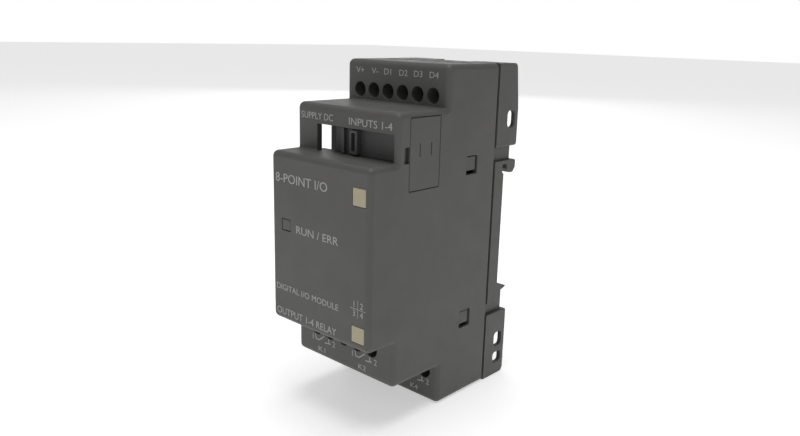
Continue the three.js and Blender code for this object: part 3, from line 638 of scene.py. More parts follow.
def terminal_cutters():
    """Round screw holes in the faces, and square wire holes above or below them."""
    holes, wires = [], []
    for row in ROWS:
        for x in row["holes"]:
            ring = circle(x, row["z"], HOLE_RADIUS)
            mouth = flared(-row["face"], -row["face"] - GUIDE - 1, HOLE_RIM)
            holes.append(prism("front", ring, mouth))
        depth = row["face"] + CAGE_START + CAGE_WALL + CAGE_GAP / 2
        wall = HEIGHT if row["up"] else (BACK_RISE if row["face"] == MID_DEPTH else 0)
        for x in row["used"]:
            ring = rounded((x - WIRE_HALF, x + WIRE_HALF), (depth - WIRE_HALF, depth + WIRE_HALF), 0.4)
            plane, out = ("top", wall) if row["up"] else ("bottom", -wall)
            wires.append(prism(plane, ring, flared(out, out - WALL - 1)))
    return holes, wires


def side_cutters():
    """Coupling windows, the cover's rebate, latch windows and the pry notch."""
    openings, rebates, latches = [], [], []
    for side in ("right", "left"):
        ring = rounded(COUPLING_DEPTHS, COUPLING_HEIGHTS, 0.4)
        deep = HALF_WIDTH - COVER_REBATE if side == "right" else HALF_WIDTH
        openings.append(prism(side, ring, flared(deep, CAVITY - PAST)))
        for heights in LATCH_HEIGHTS:
            ring = rounded(LATCH_DEPTHS, heights, 0.3)
            latches.append(prism(side, ring, flared(HALF_WIDTH, CAVITY - 2, SMALL_RIM)))
    rebate = rounded(COVER_DEPTHS, COVER_HEIGHTS, 0.45)
    rebates.append(prism("right", rebate, flared(HALF_WIDTH, HALF_WIDTH - COVER_REBATE, SMALL_RIM)))
    notch_rings = flared(HALF_WIDTH, HALF_WIDTH - PRY_NOTCH_DEEP, SMALL_RIM)
    notch = prism("right", rounded(*PRY_NOTCH, 0.3), notch_rings)
    return openings, rebates, latches, [notch]


LABELS = [limits_of("label_plate_top"), limits_of("label_plate_bottom")]
LAMP = limits_of("light_pipe")


def front_cutters():
    """Recesses for the label plates and the hole for the light pipe."""
    cutters = []
    for label in LABELS:
        ring = rounded(grown(label[X], 0.1), grown(label[Z], 0.1), 0.25)
        cutters.append(prism("front", ring, flared(-PRINT_ROOM, -label[D][1], 0.1)))
    ring = rounded(grown(LAMP[X], 0.12), grown(LAMP[Z], 0.12), 0.2)
    cutters.append(prism("front", ring, flared(-PRINT_ROOM, -PAST, 0.12)))
    return cutters


def front_housing():
    """The stepped front shell, hollow, with its windows and holes."""
    rings = soft_ends(-HALF_WIDTH, HALF_WIDTH, EDGE, 6)
    outline = cornered(shell_corners(PRINT_ROOM, HOUSING_REAR + PAST), 6)
    shell = make("housing_shell", [prism("right", outline, rings)])
    hollow = prism("right", cornered(hollow_corners(DEPTH + PAST), 2), flat_ends(-CAVITY, CAVITY))
    behind = plain_block((-FAR, FAR), (HOUSING_REAR, DEPTH + 3 * PAST), (-PAST, HEIGHT + PAST))
    cut(shell, [hollow], [behind])
    ledge = plain_block(FRAME_X, LEDGE_DEPTHS, (FRONT_TOP - WALL, FRONT_TOP))
    rib = block(FRAME_X, RIB_DEPTHS, (RIB_BOTTOM, FRAME_TOP), 0.15)
    boss_size = (grown(COVER_DEPTHS, BOSS_ROOM), (COVER_HEIGHTS[0] - BOSS_ROOM, FRAME_TOP))
    bosses = [block(BOSS_X, *boss_size), block(mirrored(BOSS_X), *boss_size)]
    join(shell, [ledge], [rib], bosses)
    holes, wires = terminal_cutters()
    openings, rebates, latches, notch = side_cutters()
    window = rounded(WINDOW_X, (FRONT_TOP, WINDOW_TOP), 0.01, 1)
    window_cut = prism("front", window, flat_ends(-MID_DEPTH - WALL - 0.2, -MID_DEPTH + 2))
    cut(shell, holes, wires, openings, rebates, latches, notch, front_cutters(), [window_cut])
    soften(shell, SEAM_EDGE, lambda a, b: min(a.y, b.y) > HOUSING_REAR - 0.01)
    return finish(shell, "housing_plastic", "front_housing")


# Rear base.
BASE_START = BASE_FRONT - PAST
RAIL_SEAT = 51.75
UPPER_BOTTOM = 67.8
CATCH_TOP = 63.9
CATCH_BOTTOM = 60.3
CATCH_SLOT = (51.0, 53.1)
CATCH_SLOT_TOP = 62.9
NOSE_TOP = 28.0
NOSE_BOTTOM = 26.2
NOSE_DROP = 3.0
NOSE_TIP = 56.3
LOWER_TOP = 19.8
NECK = 16.9
NECK_REAR = 55.6
BASE_WALL = 1.3
BASE_EDGE = 0.3
POCKET_FLOOR = 50.8
POCKET_INNER = 9.2
POCKET_FRONT_END = 3.4
# Depths, heights and corner radius of the holes through the base's side walls.
SIDE_HOLES = [
    ((52.1, 55.5), (72.8, 77.5), 1.3),
    ((51.9, 55.5), (8.9, 13.2), 1.1),
    ((51.8, 55.5), (3.7, 7.0), 0.9),
]
SLIDE_FRONT = 53.7
SLIDE_REAR = 55.3
SLIDE_RIDGE = 56.7
CHANNEL = (53.4, 55.6)
LOCK_TOP = 29.3
CHANNEL_HALVES = (7.3, 5.9)
# Half width, front depth and floor height of the notch in the top.
TOP_NOTCH = (5.9, 49.2, 87.9)
RIM_SET_IN = 0.2
RIM_WALL = 1.1


def base_outlines():
    """Side outlines of the upper block, the rail catch and nose, and the lower block."""
    upper = [(BASE_START, UPPER_BOTTOM, 0), (DEPTH, UPPER_BOTTOM, 0.8), (DEPTH, 78, 2),
             (DEPTH - 1.5, HEIGHT, 1.2), (BASE_START, HEIGHT, 0)]
    rail = [
        (BASE_START, NOSE_BOTTOM - NOSE_DROP, 0), (RAIL_SEAT, NOSE_BOTTOM - NOSE_DROP, 0.1),
        (RAIL_SEAT + 0.4, NOSE_BOTTOM, 0.1), (54.3, NOSE_BOTTOM, 0.3), (NOSE_TIP, 26.9, 0.2),
        (53.4, NOSE_TOP, 0.3), (RAIL_SEAT, NOSE_TOP + 0.6, 0.3), (RAIL_SEAT, CATCH_BOTTOM - 0.1, 0.05),
        (CATCH_SLOT[0], CATCH_BOTTOM + 0.5, 0.2), (CATCH_SLOT[0], CATCH_SLOT_TOP, 0.4),
        (CATCH_SLOT[1], CATCH_SLOT_TOP, 0.4), (CATCH_SLOT[1] + 0.2, 61.4, 0.2),
        (CATCH_SLOT[1] + 1.4, CATCH_BOTTOM, 0.2), (55.9, CATCH_BOTTOM, 0.5), (DEPTH, 61.6, 0.5),
        (DEPTH, CATCH_TOP, 0.7), (BASE_START, CATCH_TOP, 0),
    ]
    lower = [(BASE_START, 0, 0), (DEPTH, 0, 1.5), (DEPTH, LOWER_TOP, 0.7), (BASE_START, LOWER_TOP, 0)]
    return upper, rail, lower


def neck_outline(low, high):
    foot = low - 1
    return [(BASE_START, foot, 0), (NECK_REAR, foot, 0.2), (NECK_REAR, high, 0.2), (BASE_START, high, 0)]


def base_cutters():
    """Rear pockets and the holes through the side walls."""
    x = (POCKET_INNER, HALF_WIDTH - BASE_WALL)
    upper = (UPPER_BOTTOM + BASE_WALL, HEIGHT - BASE_WALL)
    lower = (BASE_WALL, LOWER_TOP - BASE_WALL)
    pockets, holes = [], []
    for sides in (x, mirrored(x)):
        for heights in (upper, lower):
            pockets.append(prism("rear", rounded(sides, heights, 0.5), flared(DEPTH, POCKET_FLOOR, 0.2)))
    for side in ("right", "left"):
        for depths, heights, radius in SIDE_HOLES:
            ring = rounded(depths, heights, radius, 8)
            holes.append(prism(side, ring, flared(HALF_WIDTH, HALF_WIDTH - BASE_WALL - 1, 0.2)))
    return pockets, holes


def channel_cutters():
    """The undercut channels of the two slides, the lock's room and the notch in the top."""
    wide, narrow = CHANNEL_HALVES
    notch_half, notch_front, notch_floor = TOP_NOTCH
    upper, lower = (CATCH_TOP + 1.8, HEIGHT + PAST), (-PAST, NOSE_TOP + PAST / 2)
    wides = [plain_block((-wide, wide), CHANNEL, heights) for heights in (upper, lower)]
    behind = (SLIDE_FRONT, DEPTH + PAST)
    narrows = [plain_block((-narrow, narrow), behind, heights) for heights in (upper, lower)]
    lock = plain_block((-wide, wide), (RAIL_SEAT - 0.3, SLIDE_FRONT), (NOSE_TOP - 0.2, LOCK_TOP + 0.3))
    top = plain_block((-notch_half, notch_half), (notch_front, DEPTH + PAST), (notch_floor, HEIGHT + PAST))
    return wides, narrows, [lock], [top]


def side_bar(corners, half, edge):
    return prism("right", cornered(corners, 5), soft_ends(-half, half, edge, 5))


def seam_rim():
    """The thin frame on the base's front that reaches into the housing."""
    half = CAVITY - RIM_SET_IN
    heights = (WALL + RIM_SET_IN, HEIGHT - WALL - RIM_SET_IN)
    rim = make("rim", [plain_block((-half, half), (BASE_FRONT - 1.8, BASE_FRONT + 0.2), heights)])
    hole_x = (-half + RIM_WALL, half - RIM_WALL)
    cut(rim, [plain_block(hole_x, (BASE_FRONT - 5, BASE_FRONT + 4), (WALL + 1.3, HEIGHT - WALL - 1.3))])
    return rim


def latches_of_base():
    """Arms that reach forward along the side walls, and the tabs that show in the latch windows."""
    arms, tabs = [], []
    outer, inner = CAVITY - 0.4, CAVITY - 1.7
    front = LATCH_DEPTHS[0] + 0.25
    for low, high in LATCH_HEIGHTS:
        z = (low + 1, high - 0.25)
        for flip in (lambda v: v, mirrored):
            arms.append(plain_block(flip((inner, outer)), (front + 0.1, BASE_FRONT + 0.2), grown(z, -0.02)))
            tabs.append(block(flip((inner, HALF_WIDTH - 0.3)), (front, front + LATCH_TAB), z, 0.2))
    return arms, tabs


def rear_base():
    """The base behind the seam: two blocks, the rail catch and nose, and the necks between them."""
    upper, rail, lower = base_outlines()
    base = make("rear_base_body", [side_bar(upper, HALF_WIDTH, BASE_EDGE)])
    join(base, [side_bar(rail, HALF_WIDTH, 0.12)], [side_bar(lower, HALF_WIDTH, BASE_EDGE)],
         [side_bar(neck_outline(CATCH_TOP, UPPER_BOTTOM), NECK, 0.4)],
         [side_bar(neck_outline(LOWER_TOP, NOSE_BOTTOM), NECK, 0.4)])
    ahead = plain_block((-FAR, FAR), (-PAST, BASE_FRONT), (-PAST, HEIGHT + PAST))
    pockets, holes = base_cutters()
    half = (2 - CAVITY, CAVITY - 2)
    ends, middle_end = (BASE_START - 1, POCKET_FLOOR - WALL), (BASE_START - 1, RAIL_SEAT - WALL)
    fronts = [
        plain_block(half, ends, (UPPER_BOTTOM + 2, HEIGHT - POCKET_FRONT_END)),
        plain_block(half, middle_end, (NOSE_TOP + 2, CATCH_BOTTOM - 2)),
        plain_block(half, ends, (POCKET_FRONT_END, LOWER_TOP - 2)),
    ]
    cut(base, [ahead], pockets, holes, *channel_cutters(), fronts)
    soften(base, SEAM_EDGE,
           lambda a, b: max(a.y, b.y) < BASE_FRONT + 0.01 and max(abs(a.x), abs(b.x)) > CAVITY)
    combine_objects(base, [seam_rim()], "UNION")
    join(base, *latches_of_base())
    return finish(base, "housing_plastic", "rear_base")


COVER_LEG = ((13.2, 17.2), (14.6, 15.7))
COVER_HOOK = ((13.2, 14.0), (14.3, 15.6))
LEG_HEIGHTS = ((62.6, 65.2), (73.0, 75.6))
GROOVE_DEPTHS = (16.5, 20.6)
GROOVE_HEIGHTS = (68.6, 71.8)
GROOVE_HALF = 0.2
GROOVE_DEEP = 0.2


def expansion_cover():
    """The loose lid, with two hooked legs and two grooves for a thumb."""
    ring = rounded(COVER[D], COVER[Z], 0.4)
    x = (HALF_WIDTH - COVER_REBATE + 0.05, HALF_WIDTH)
    plate = prism("right", ring, [(x[0], 0.1), (x[0] + 0.1, 0)] + soft_ends(*x, 0.22, 4)[5:])
    cover = make("expansion_cover_lid", [plate])
    legs, hooks = [], []
    for heights in LEG_HEIGHTS:
        legs.append(block(*COVER_LEG, heights, 0.15))
        hooks.append(block(*COVER_HOOK, grown(heights, -0.01), 0.15))
    join(cover, legs, hooks)
    groove_rings = flared(HALF_WIDTH, HALF_WIDTH - GROOVE_DEEP, 0.06)
    grooves = [prism("right", rounded(grown((d, d), GROOVE_HALF), GROOVE_HEIGHTS, 0.18), groove_rings)
               for d in GROOVE_DEPTHS]
    cut(cover, grooves)
    return finish(cover, "housing_plastic", "expansion_cover")


# Limits on x, depth and z, and the edge's radius: plate, lip, eyelet ring, bridge, arm and plug holder.
SLIDER_PLATE = ((-2.4, 15.4), (10.7, 12.0), (67.6, 75.9), 0.15)
SLIDER_PARTS = [
    ((-2.38, -1.2), (9.7, 11.9), (67.62, 74.1), 0.15),
    ((1.4, 4.1), (8.95, 11.9), (67.9, 73.9), 0.25),
    ((-5.38, -2.2), (10.91, 11.98), (67.61, 74.69), 0.1),
    ((-5.4, -2.9), (10.9, 21.79), (67.6, 74.7), 0.15),
    ((-5.39, -2.91), (18.2, 21.8), (63.4, 75.2), 0.15),
]
EYELET_SLOT = ((2.1, 3.4), (68.6, 73.2))
EYELET_DEPTHS = (8.95, 10.4)


def interlock_slider():
    """The slider in the window, with its arm back to the plug and a blind slot for a tool."""
    slider = make("interlock_slider_body", [block(*SLIDER_PLATE)])
    join(slider, *[[block(*part)] for part in SLIDER_PARTS])
    rings = flared(-EYELET_DEPTHS[0], -EYELET_DEPTHS[1], 0.12)
    slot = prism("front", rounded(*EYELET_SLOT, 0.25), rings)
    cut(slider, [slot])
    return finish(slider, "slider_plastic", "interlock_slider")


CONTACTS = 6
CONTACT_PITCH = 1.8
PLUG_GROOVE = (2.2, -7.5, 0.4)
PLUG_SPRING = (2.4, -7.7, 0.28)
SOCKET_SLOT = ((17.8, 22.2), (63.0, 75.8))
SOCKET_FLOOR = 1.8
SOCKET_MIDDLE = 69.3
PIN_X, PIN_DEPTHS, PIN_HALF = (8.2, 14.6), (17.85, 18.1), 0.25


def contact_heights(centre):
    return [centre + (i - (CONTACTS - 1) / 2) * CONTACT_PITCH for i in range(CONTACTS)]


def contact_bars(x0, depth, centre, shape):
    """Limits of one bar for each contact; shape is (start from x0, end on x, half height)."""
    start, end, half = shape
    return [((x0 + start, end), depth, (h - half, h + half)) for h in contact_heights(centre)]


def bus_plug():
    """The plug's tongue, with one spring contact in each groove."""
    x, depth, z = limits_of("bus_plug")
    plug = make("bus_plug_tongue", [block(x, depth, z, 0.2)])
    cut_depth, spring_depth = (depth[0] - 1, depth[0] + 0.5), (depth[0] + 0.2, depth[0] + 0.7)
    cut(plug, [plain_block(*bar) for bar in contact_bars(x[0], cut_depth, middle(z), PLUG_GROOVE)])
    finish(plug, "contact_block", "bus_plug")
    springs = [block(*bar, 0.1) for bar in contact_bars(x[0], spring_depth, middle(z), PLUG_SPRING)]
    finish_piece(make("bus_contacts", springs), GOLD, BODY_OF["bus_plug"])


def expansion_socket():
    """The socket behind the cover, with one pin for each contact."""
    x, depth, z = limits_of("expansion_socket")
    socket = make("expansion_socket_body", [block(x, depth, z, 0.2)])
    cut(socket, [prism("right", rounded(*SOCKET_SLOT, 0.2), flared(x[1], x[0] + SOCKET_FLOOR, 0.3))])
    finish(socket, "contact_block", "expansion_socket")
    heights = contact_heights(SOCKET_MIDDLE)
    pins = [block(PIN_X, PIN_DEPTHS, (h - PIN_HALF, h + PIN_HALF), 0.05) for h in heights]
    finish_piece(make("socket_contacts", pins), GOLD, BODY_OF["expansion_socket"])


SLIDE_HALF = 7
EYELET_RADIUS = 2.15
EYELET_FROM_END = 4.5
RIDGE_HALF = 5.6
RIDGES = 4
RIDGE_STEP = 2
LOCK_HALF = 5.58
LOCK_HEIGHTS = (24.4, 27)
LOCK_TIP = 54.5


def slide_piece(name, node, eyelet_z, ridge_start, head=False):
    """A mounting slide with an eyelet and finger ridges, and a sloped locking head where asked."""
    z = limits_of(node)[Z]
    plate = (SLIDE_FRONT, SLIDE_REAR)
    piece = make(name, [block((-SLIDE_HALF, SLIDE_HALF), plate, z, 0.2)])
    if head:
        head_top = z[1] - 0.02
        low, shoulder = LOCK_HEIGHTS
        corners = [(plate[0], low, 0.05), (SLIDE_RIDGE, low, 0.3), (SLIDE_RIDGE, shoulder, 0.3),
                   (LOCK_TIP, head_top, 0.2), (plate[0], head_top, 0.05)]
        join(piece, [prism("right", cornered(corners, 4), soft_ends(-LOCK_HALF, LOCK_HALF, 0.2, 3))])
    ridge_depths = (SLIDE_REAR - 0.3, SLIDE_RIDGE)
    feet = [ridge_start + RIDGE_STEP * i for i in range(RIDGES)]
    ridges = [block((-RIDGE_HALF, RIDGE_HALF), ridge_depths, (foot, foot + 1), 0.25) for foot in feet]
    join(piece, ridges)
    cut(piece, [prism("rear", circle(0, eyelet_z, EYELET_RADIUS), flared(SLIDE_REAR, 51, 0.25))])
    return finish(piece, "housing_plastic", node)


def inlay(name, limits, corner, face, edge, slot, node):
    """A flat piece set into the front face, with its front edge rounded."""
    x, depth, z = limits
    rings = [(-depth[1], 0)] + [(-face - along, inset) for along, inset in reversed(quarter(edge, 4))]
    finish(make(name, [prism("front", rounded(x, z, corner), rings)]), slot, node)


def label_plates():
    for place, limits in zip(("top", "bottom"), LABELS):
        inlay(f"label_{place}", limits, 0.2, 0.02, 0.12, "label_cream", f"label_plate_{place}")


def light_window():
    inlay("light_window", LAMP, 0.15, 0.14, 0.2, "light_pipe_clear", "light_pipe")


def turned_part(profile, count=48):
    """A body turned about the Y axis from (radius, along) steps, starting and ending on the axis."""
    points = []
    for radius, along in profile:
        for k in range(count):
            t = 2 * math.pi * k / count
            points.append((radius * math.cos(t), along, radius * math.sin(t)))
    faces = side_faces(len(profile), count)
    faces.append(tuple(range(count)))
    faces.append(tuple(range(len(points) - count, len(points))))
    return points, faces


HEAD_RADIUS = 1.74
HEAD_LENGTH = 1.8
SHANK_RADIUS = 1.33
ROOT_RADIUS = 1.1
SCREW_LENGTH = 5.95
THREAD_STEP = 0.5
SLOT_HALF = 0.25
CAGE_HALF = (2.2, 3)
CAGE_LENGTH = 6.6
CAGE_BORE = 1.42


def screw_mesh():
    """Combined slot and cross head on a threaded shank; its origin is the middle of the head's front."""
    r, head, end = HEAD_RADIUS, HEAD_LENGTH, SCREW_LENGTH
    profile = [(r - 0.35, 0.0), (r - 0.1, 0.08), (r, 0.3), (r, head - 0.1), (r - 0.1, head), (1.15, head)]
    along = head + 0.2
    while along < end - THREAD_STEP:
        profile += [(ROOT_RADIUS, along), (SHANK_RADIUS, along + 0.15), (ROOT_RADIUS, along + 0.3)]
        along += THREAD_STEP
    profile += [(1.0, end - 0.2), (0.7, end)]
    shift = -FRONT_Y
    points, faces = turned_part(profile)
    screw = make("screw_master", [([(x, y + shift, z) for x, y, z in points], faces)])
    slot = block((-3, 3), (shift - 1, shift + 0.8), (-SLOT_HALF, SLOT_HALF), 0.05, 1)
    cross = block((-SLOT_HALF, SLOT_HALF), (shift - 1, shift + 1.0), (-1.1, 1.1), 0.05, 1)
    well = prism("front", circle(0, 0, 0.62, 24), [(-shift + 1, -0.1), (-shift, -0.1), (-shift - 0.9, 0.2)])
    cut(screw, [slot], [cross], [well])
    return screw


def cage_mesh():
    """Clamp cage bent from strip, with a threaded neck in its front wall."""
    shift = -FRONT_Y
    wide, tall = CAGE_HALF
    body = block((-wide, wide), (shift, shift + CAGE_LENGTH), (-tall, tall), 0.35, 3)
    cage = make("cage_master", [body])
    gap_depths = (shift + CAGE_WALL, shift + (CAGE_WALL + CAGE_GAP))
    gap = prism("top", rounded((-1.6, 1.6), gap_depths, 0.3), flat_ends(-5, 5))
    neck = prism("front", circle(0, 0, CAGE_BORE, 32), flared(-shift, -shift - 3, 0.2))
    cut(cage, [gap], [neck])
    return cage


def place_copies(master, kind, slot):
    """One copy of the master's mesh at each packed screw or cage."""
    for row in ROWS:
        for i in range(len(row["used"])):
            node = f"{kind}_{row['name']}_{i + 1}"
            x, depth, z = limits_of(node)
            place = Vector((middle(x), depth[0] + FRONT_Y, middle(z))) * MM
            piece = add_object(f"{node}_detail", master.data.copy())
            piece.data.transform(Matrix.Translation(place))
            finish(piece, slot, node)
    bpy.data.objects.remove(master)


SAME_POINT = 1e-6
INNER_EDGE = 0.12


def dress_inner():
    """Inner CAD solids keep their shape, with softened edges and real finishes."""
    slots = {m["node"]: m["material_slot"] for m in frame["record"]["subparts"]}
    for node, obj in frame["nodes"].items():
        if obj.hide_render:
            continue
        look = LOOKS[slots[node]]
        obj.data.materials.clear()
        obj.data.materials.append(look)
        weld = obj.modifiers.new("weld", "WELD")
        weld.merge_threshold = SAME_POINT
        edge = obj.modifiers.new("edge", "BEVEL")
        edge.width, edge.segments, edge.limit_method = INNER_EDGE * MM, 2, "ANGLE"
        edge.angle_limit = SHARP


# Print on the faces: generic words and numbers only.
PRINT_HEIGHT = 0.03
PRINT_SUNK = 0.02


def text_mesh(words):
    """A raised mesh of some words, one unit high."""
    curve = bpy.data.curves.new("print", "FONT")
    curve.body = words
    curve.size = 1
    curve.extrude = 0.02
    curve.resolution_u = 4
    holder = add_object("print", curve)
    bpy.context.view_layer.update()
    mesh = bpy.data.meshes.new_from_object(holder.evaluated_get(bpy.context.evaluated_depsgraph_get()))
    bpy.data.objects.remove(holder)
    return mesh


def print_words(name, words, x, z, depth):
    """Words fitted between limits on x and z, standing a little proud of the face at a depth."""
    mesh = text_mesh(words)
    if len(words) == 1:
        x = keep_shape(mesh, x, z)
    bm = bmesh.new()
    bm.from_mesh(mesh)
    bmesh.ops.remove_doubles(bm, verts=bm.verts, dist=SAME_POINT)
    low = [min(v.co[i] for v in bm.verts) for i in range(3)]
    high = [max(v.co[i] for v in bm.verts) for i in range(3)]
    for v in bm.verts:
        across = x[0] + (v.co.x - low[0]) / (high[0] - low[0]) * (x[1] - x[0])
        up = z[0] + (v.co.y - low[1]) / (high[1] - low[1]) * (z[1] - z[0])
        out = depth + PRINT_SUNK - (v.co.z - low[2]) / (high[2] - low[2]) * (PRINT_HEIGHT + PRINT_SUNK)
        v.co = metres((across, out, up))
    bmesh.ops.recalc_face_normals(bm, faces=bm.faces)
    bm.to_mesh(mesh)
    bm.free()
    return print_piece(add_object(name, mesh))


def keep_shape(mesh, x, z):
    """Limits on x round the same middle that keep a single sign's own proportions."""
    wide = max(v.co.x for v in mesh.vertices) - min(v.co.x for v in mesh.vertices)
    tall = max(v.co.y for v in mesh.vertices) - min(v.co.y for v in mesh.vertices)
    half = (z[1] - z[0]) * wide / tall / 2
    return (middle(x) - half, middle(x) + half)


def print_piece(obj):
    """Inks a piece of print, which rides on the housing and stands for no CAD node."""
    obj.data.materials.clear()
    obj.data.materials.append(INK)
    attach(obj, BODY_OF["front_housing"])
    return obj


def ribbon(start, end, width, depth):
    """A thin straight line of ink between two points (x, z) on a face."""
    a, b = Vector(start), Vector(end)
    side = (b - a).normalized().orthogonal() * width / 2
    corners = [a - side, b - side, b + side, a + side]
    if (corners[1] - corners[0]).cross(corners[2] - corners[1]) < 0:
        corners.reverse()
    return prism("front", lambda inset: corners, [(-depth - PRINT_SUNK, 0), (-depth + PRINT_HEIGHT, 0)])


SYMBOL_LINE = 0.3
GRID_LINE = 0.14
# Offsets (x, z) from a relay's middle and the foot of its symbol.
SYMBOL_ARM = [(-2.7, 1.8), (-2.45, 0.4), (-1.15, 0.35), (0.85, 1.95)]
SYMBOL_LEAD = [(1.15, 0.2), (3.45, 0.5)]
SYMBOL_STEM = [(2.7, 0.3), (2.7, 1.7)]


def contact_symbol(name, x, low, depth):
    """Open contact over a relay's two terminals: an arm on the left lead, a T on the right lead."""
    lines = []
    for offsets in (SYMBOL_ARM, SYMBOL_LEAD, SYMBOL_STEM):
        points = [(x + across, low + up) for across, up in offsets]
        lines += [ribbon(a, b, SYMBOL_LINE, depth) for a, b in zip(points, points[1:])]
    obj = make(name, lines[:1])
    join(obj, *[[line] for line in lines[1:]])
    return print_piece(obj)


# Name, words, limits on x, limits on z and face depth of each line of print.
FRONT_PRINTS = [
    ("heading", "8-POINT I/O", (-16.0, 3.5), (59.8, 62.1), PRINT_ROOM),
    ("lamp", "RUN / ERR", (-8.1, 7.4), (47.4, 49.4), PRINT_ROOM),
    ("family", "DIGITAL I/O MODULE", (-16.2, 7.6), (31.0, 32.6), PRINT_ROOM),
    ("outputs", "OUTPUT 1-4 RELAY", (-16.2, 6.9), (24.2, 26.1), PRINT_ROOM),
    ("supply", "SUPPLY DC", (-16.2, -4.2), (75.3, 77.0), MID_DEPTH),
    ("inputs", "INPUTS 1-4", (1.5, 16.0), (75.1, 76.9), MID_DEPTH),
]
TOP_SIGNS = ("V+", "V-", "D1", "D2", "D3", "D4")
TOP_SIGN_X = ((-14.4, -11.4), (-8.6, -6.1), (-4.0, -1.5), (1.4, 4.2), (6.4, 9.2), (11.6, 14.5))
TOP_SIGN_Z = (86.4, 87.95)
GRID_X, GRID_Z = (11.8, 16.9), (31.0, 35.5)
# Each relay's middle on x, the foot of its symbol and its face.
RELAYS = [(-8.25, 15.2, MID_DEPTH), (7.3, 15.2, MID_DEPTH), (-5.4, 4.7, BACK_DEPTH), (9.9, 4.7, BACK_DEPTH)]


def relay_prints(number, x, low, face):
    """The two terminal numbers, the contact symbol and the name of a relay."""
    tag = f"print_relay_{number}"
    print_words(f"{tag}_1", "1", (x - 3.9, x - 3.4), (low, low + 1.6), face)
    print_words(f"{tag}_2", "2", (x + 4.1, x + 5.3), (low, low + 1.6), face)
    contact_symbol(f"{tag}_contact", x, low, face)
    print_words(f"{tag}_name", f"K{number}", (x - 1.4, x + 1.3), (low - 2.8, low - 1.4), face)


def grid_print():
    """A two by two key to the four outputs."""
    (x0, x1), (z0, z1) = GRID_X, GRID_Z
    x, z = middle(GRID_X), middle(GRID_Z)
    upright = ribbon((x, z0), (x, z1), GRID_LINE, PRINT_ROOM)
    levels = [ribbon(ends[0], ends[1], GRID_LINE, PRINT_ROOM)
              for ends in (((x0, z), (x - 0.2, z)), ((x + 0.2, z), (x1, z)))]
    print_piece(make("print_grid_upright", [upright]))
    print_piece(make("print_grid_level", levels))
    for k, digit in enumerate("1234"):
        across = x + (k % 2 * 2 - 1) * (x1 - x0) / 4
        up = z + (1 - k // 2 * 2) * (z1 - z0) / 4
        x_limits, z_limits = (across - 0.5, across + 0.5), (up - 0.75, up + 0.75)
        print_words(f"print_grid_{digit}", digit, x_limits, z_limits, PRINT_ROOM)


def prints():
    for name, words, x, z, face in FRONT_PRINTS:
        print_words(f"print_{name}", words, x, z, face)
    for number, (sign, x) in enumerate(zip(TOP_SIGNS, TOP_SIGN_X), 1):
        print_words(f"print_top_{number}", sign, x, TOP_SIGN_Z, BACK_DEPTH)
    grid_print()
    for number, place in enumerate(RELAYS, 1):
        relay_prints(number, *place)


# Studio: a glowing paper floor, a soft world, and lamps that the camera doesn't see.
WORLD_LIGHT = 0.22
GLOW_START = 0.03
GLOW_REACH = 0.3
GLOW_NEAR = 0.45
GLOW_FAR = 0.6
FLOOR_SIZE = 4.0
PAPER = 0.93
PAPER_ROUGHNESS = 0.9
# Name, place and aim in metres, size and power.
LAMPS = [
    ("overhead", (0.0, 0.0, 0.6), (0, 0, 0.04), 0.45, 2.0),
    ("behind_left", (-0.68, 0.73, 0.34), (0, 0, 0.08), 0.5, 0.95),
    ("front", (0.3, -0.7, 0.4), (0, 0, 0.05), 0.6, 0.35),
]


def world_light():
    """White to the camera, and much dimmer as a source of light."""
    world = bpy.data.worlds.new("studio")
    bpy.context.scene.world = world
    world.use_nodes = True
    tree = world.node_tree
    background = tree.nodes["Background"]
    background.inputs["Color"].default_value = (1, 1, 1, 1)
    path = tree.nodes.new("ShaderNodeLightPath")
    strength = tree.nodes.new("ShaderNodeMapRange")
    strength.inputs["To Min"].default_value = WORLD_LIGHT
    strength.inputs["To Max"].default_value = 1.0
    tree.links.new(path.outputs["Is Camera Ray"], strength.inputs["Value"])
    tree.links.new(strength.outputs["Result"], background.inputs["Strength"])


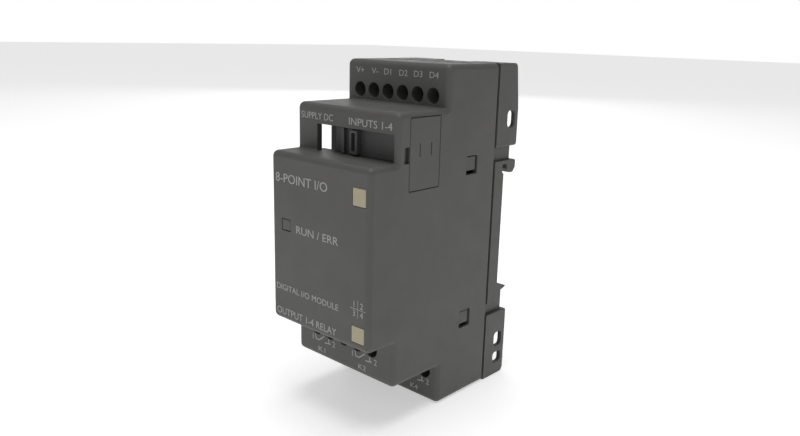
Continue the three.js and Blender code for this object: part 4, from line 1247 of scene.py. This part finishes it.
def paper_floor():
    bm = bmesh.new()
    bmesh.ops.create_grid(bm, x_segments=1, y_segments=1, size=FLOOR_SIZE)
    mesh = bpy.data.meshes.new("floor")
    bm.to_mesh(mesh)
    bm.free()
    floor = add_object("floor", mesh)
    floor.location.z = CAD_BOX[0].z
    paper = bpy.data.materials.new("paper")
    paper.use_nodes = True
    shader = paper.node_tree.nodes["Principled BSDF"]
    shader.inputs["Base Color"].default_value = (PAPER, PAPER, PAPER, 1)
    shader.inputs["Roughness"].default_value = PAPER_ROUGHNESS
    shader.inputs["Emission Color"].default_value = (1, 1, 1, 1)
    light_table(paper.node_tree, shader.inputs["Emission Strength"])
    mesh.materials.append(paper)


def studio():
    settings = bpy.context.scene.view_settings
    settings.view_transform = "Standard"
    settings.look = "None"
    world_light()
    paper_floor()
    for lamp in LAMPS:
        soft_light(*lamp)


def light_table(tree, target):
    """The floor glows like a lit table, a little less under the block than away from it."""
    place = tree.nodes.new("ShaderNodeTexCoord").outputs["Object"]
    length = tree.nodes.new("ShaderNodeVectorMath")
    length.operation = "LENGTH"
    tree.links.new(place, length.inputs[0])
    fall = tree.nodes.new("ShaderNodeMapRange")
    fall.interpolation_type = "SMOOTHSTEP"
    tree.links.new(length.outputs["Value"], fall.inputs["Value"])
    limits = (("From Min", GLOW_START), ("From Max", GLOW_REACH), ("To Min", GLOW_NEAR), ("To Max", GLOW_FAR))
    for name, number in limits:
        fall.inputs[name].default_value = number
    tree.links.new(fall.outputs["Result"], target)


def soft_light(name, place, aim, size, power):
    data = bpy.data.lights.new(name, "AREA")
    data.shape = "DISK"
    data.size = size
    data.energy = power
    light = add_object(name, data)
    light.location = place
    light.rotation_euler = (Vector(place) - Vector(aim)).to_track_quat("Z", "Y").to_euler()
    light.visible_camera = False


front_housing()
rear_base()
expansion_cover()
interlock_slider()
bus_plug()
expansion_socket()
slide_piece("top_slide_body", "mounting_slide_top", HEIGHT - EYELET_FROM_END, 67)
slide_piece("bottom_slide_body", "mounting_slide_bottom", EYELET_FROM_END, 11, head=True)
label_plates()
light_window()
place_copies(screw_mesh(), "terminal_screw", "screw_steel")
place_copies(cage_mesh(), "clamp_cage", "clamp_metal")
dress_inner()
prints()
studio()
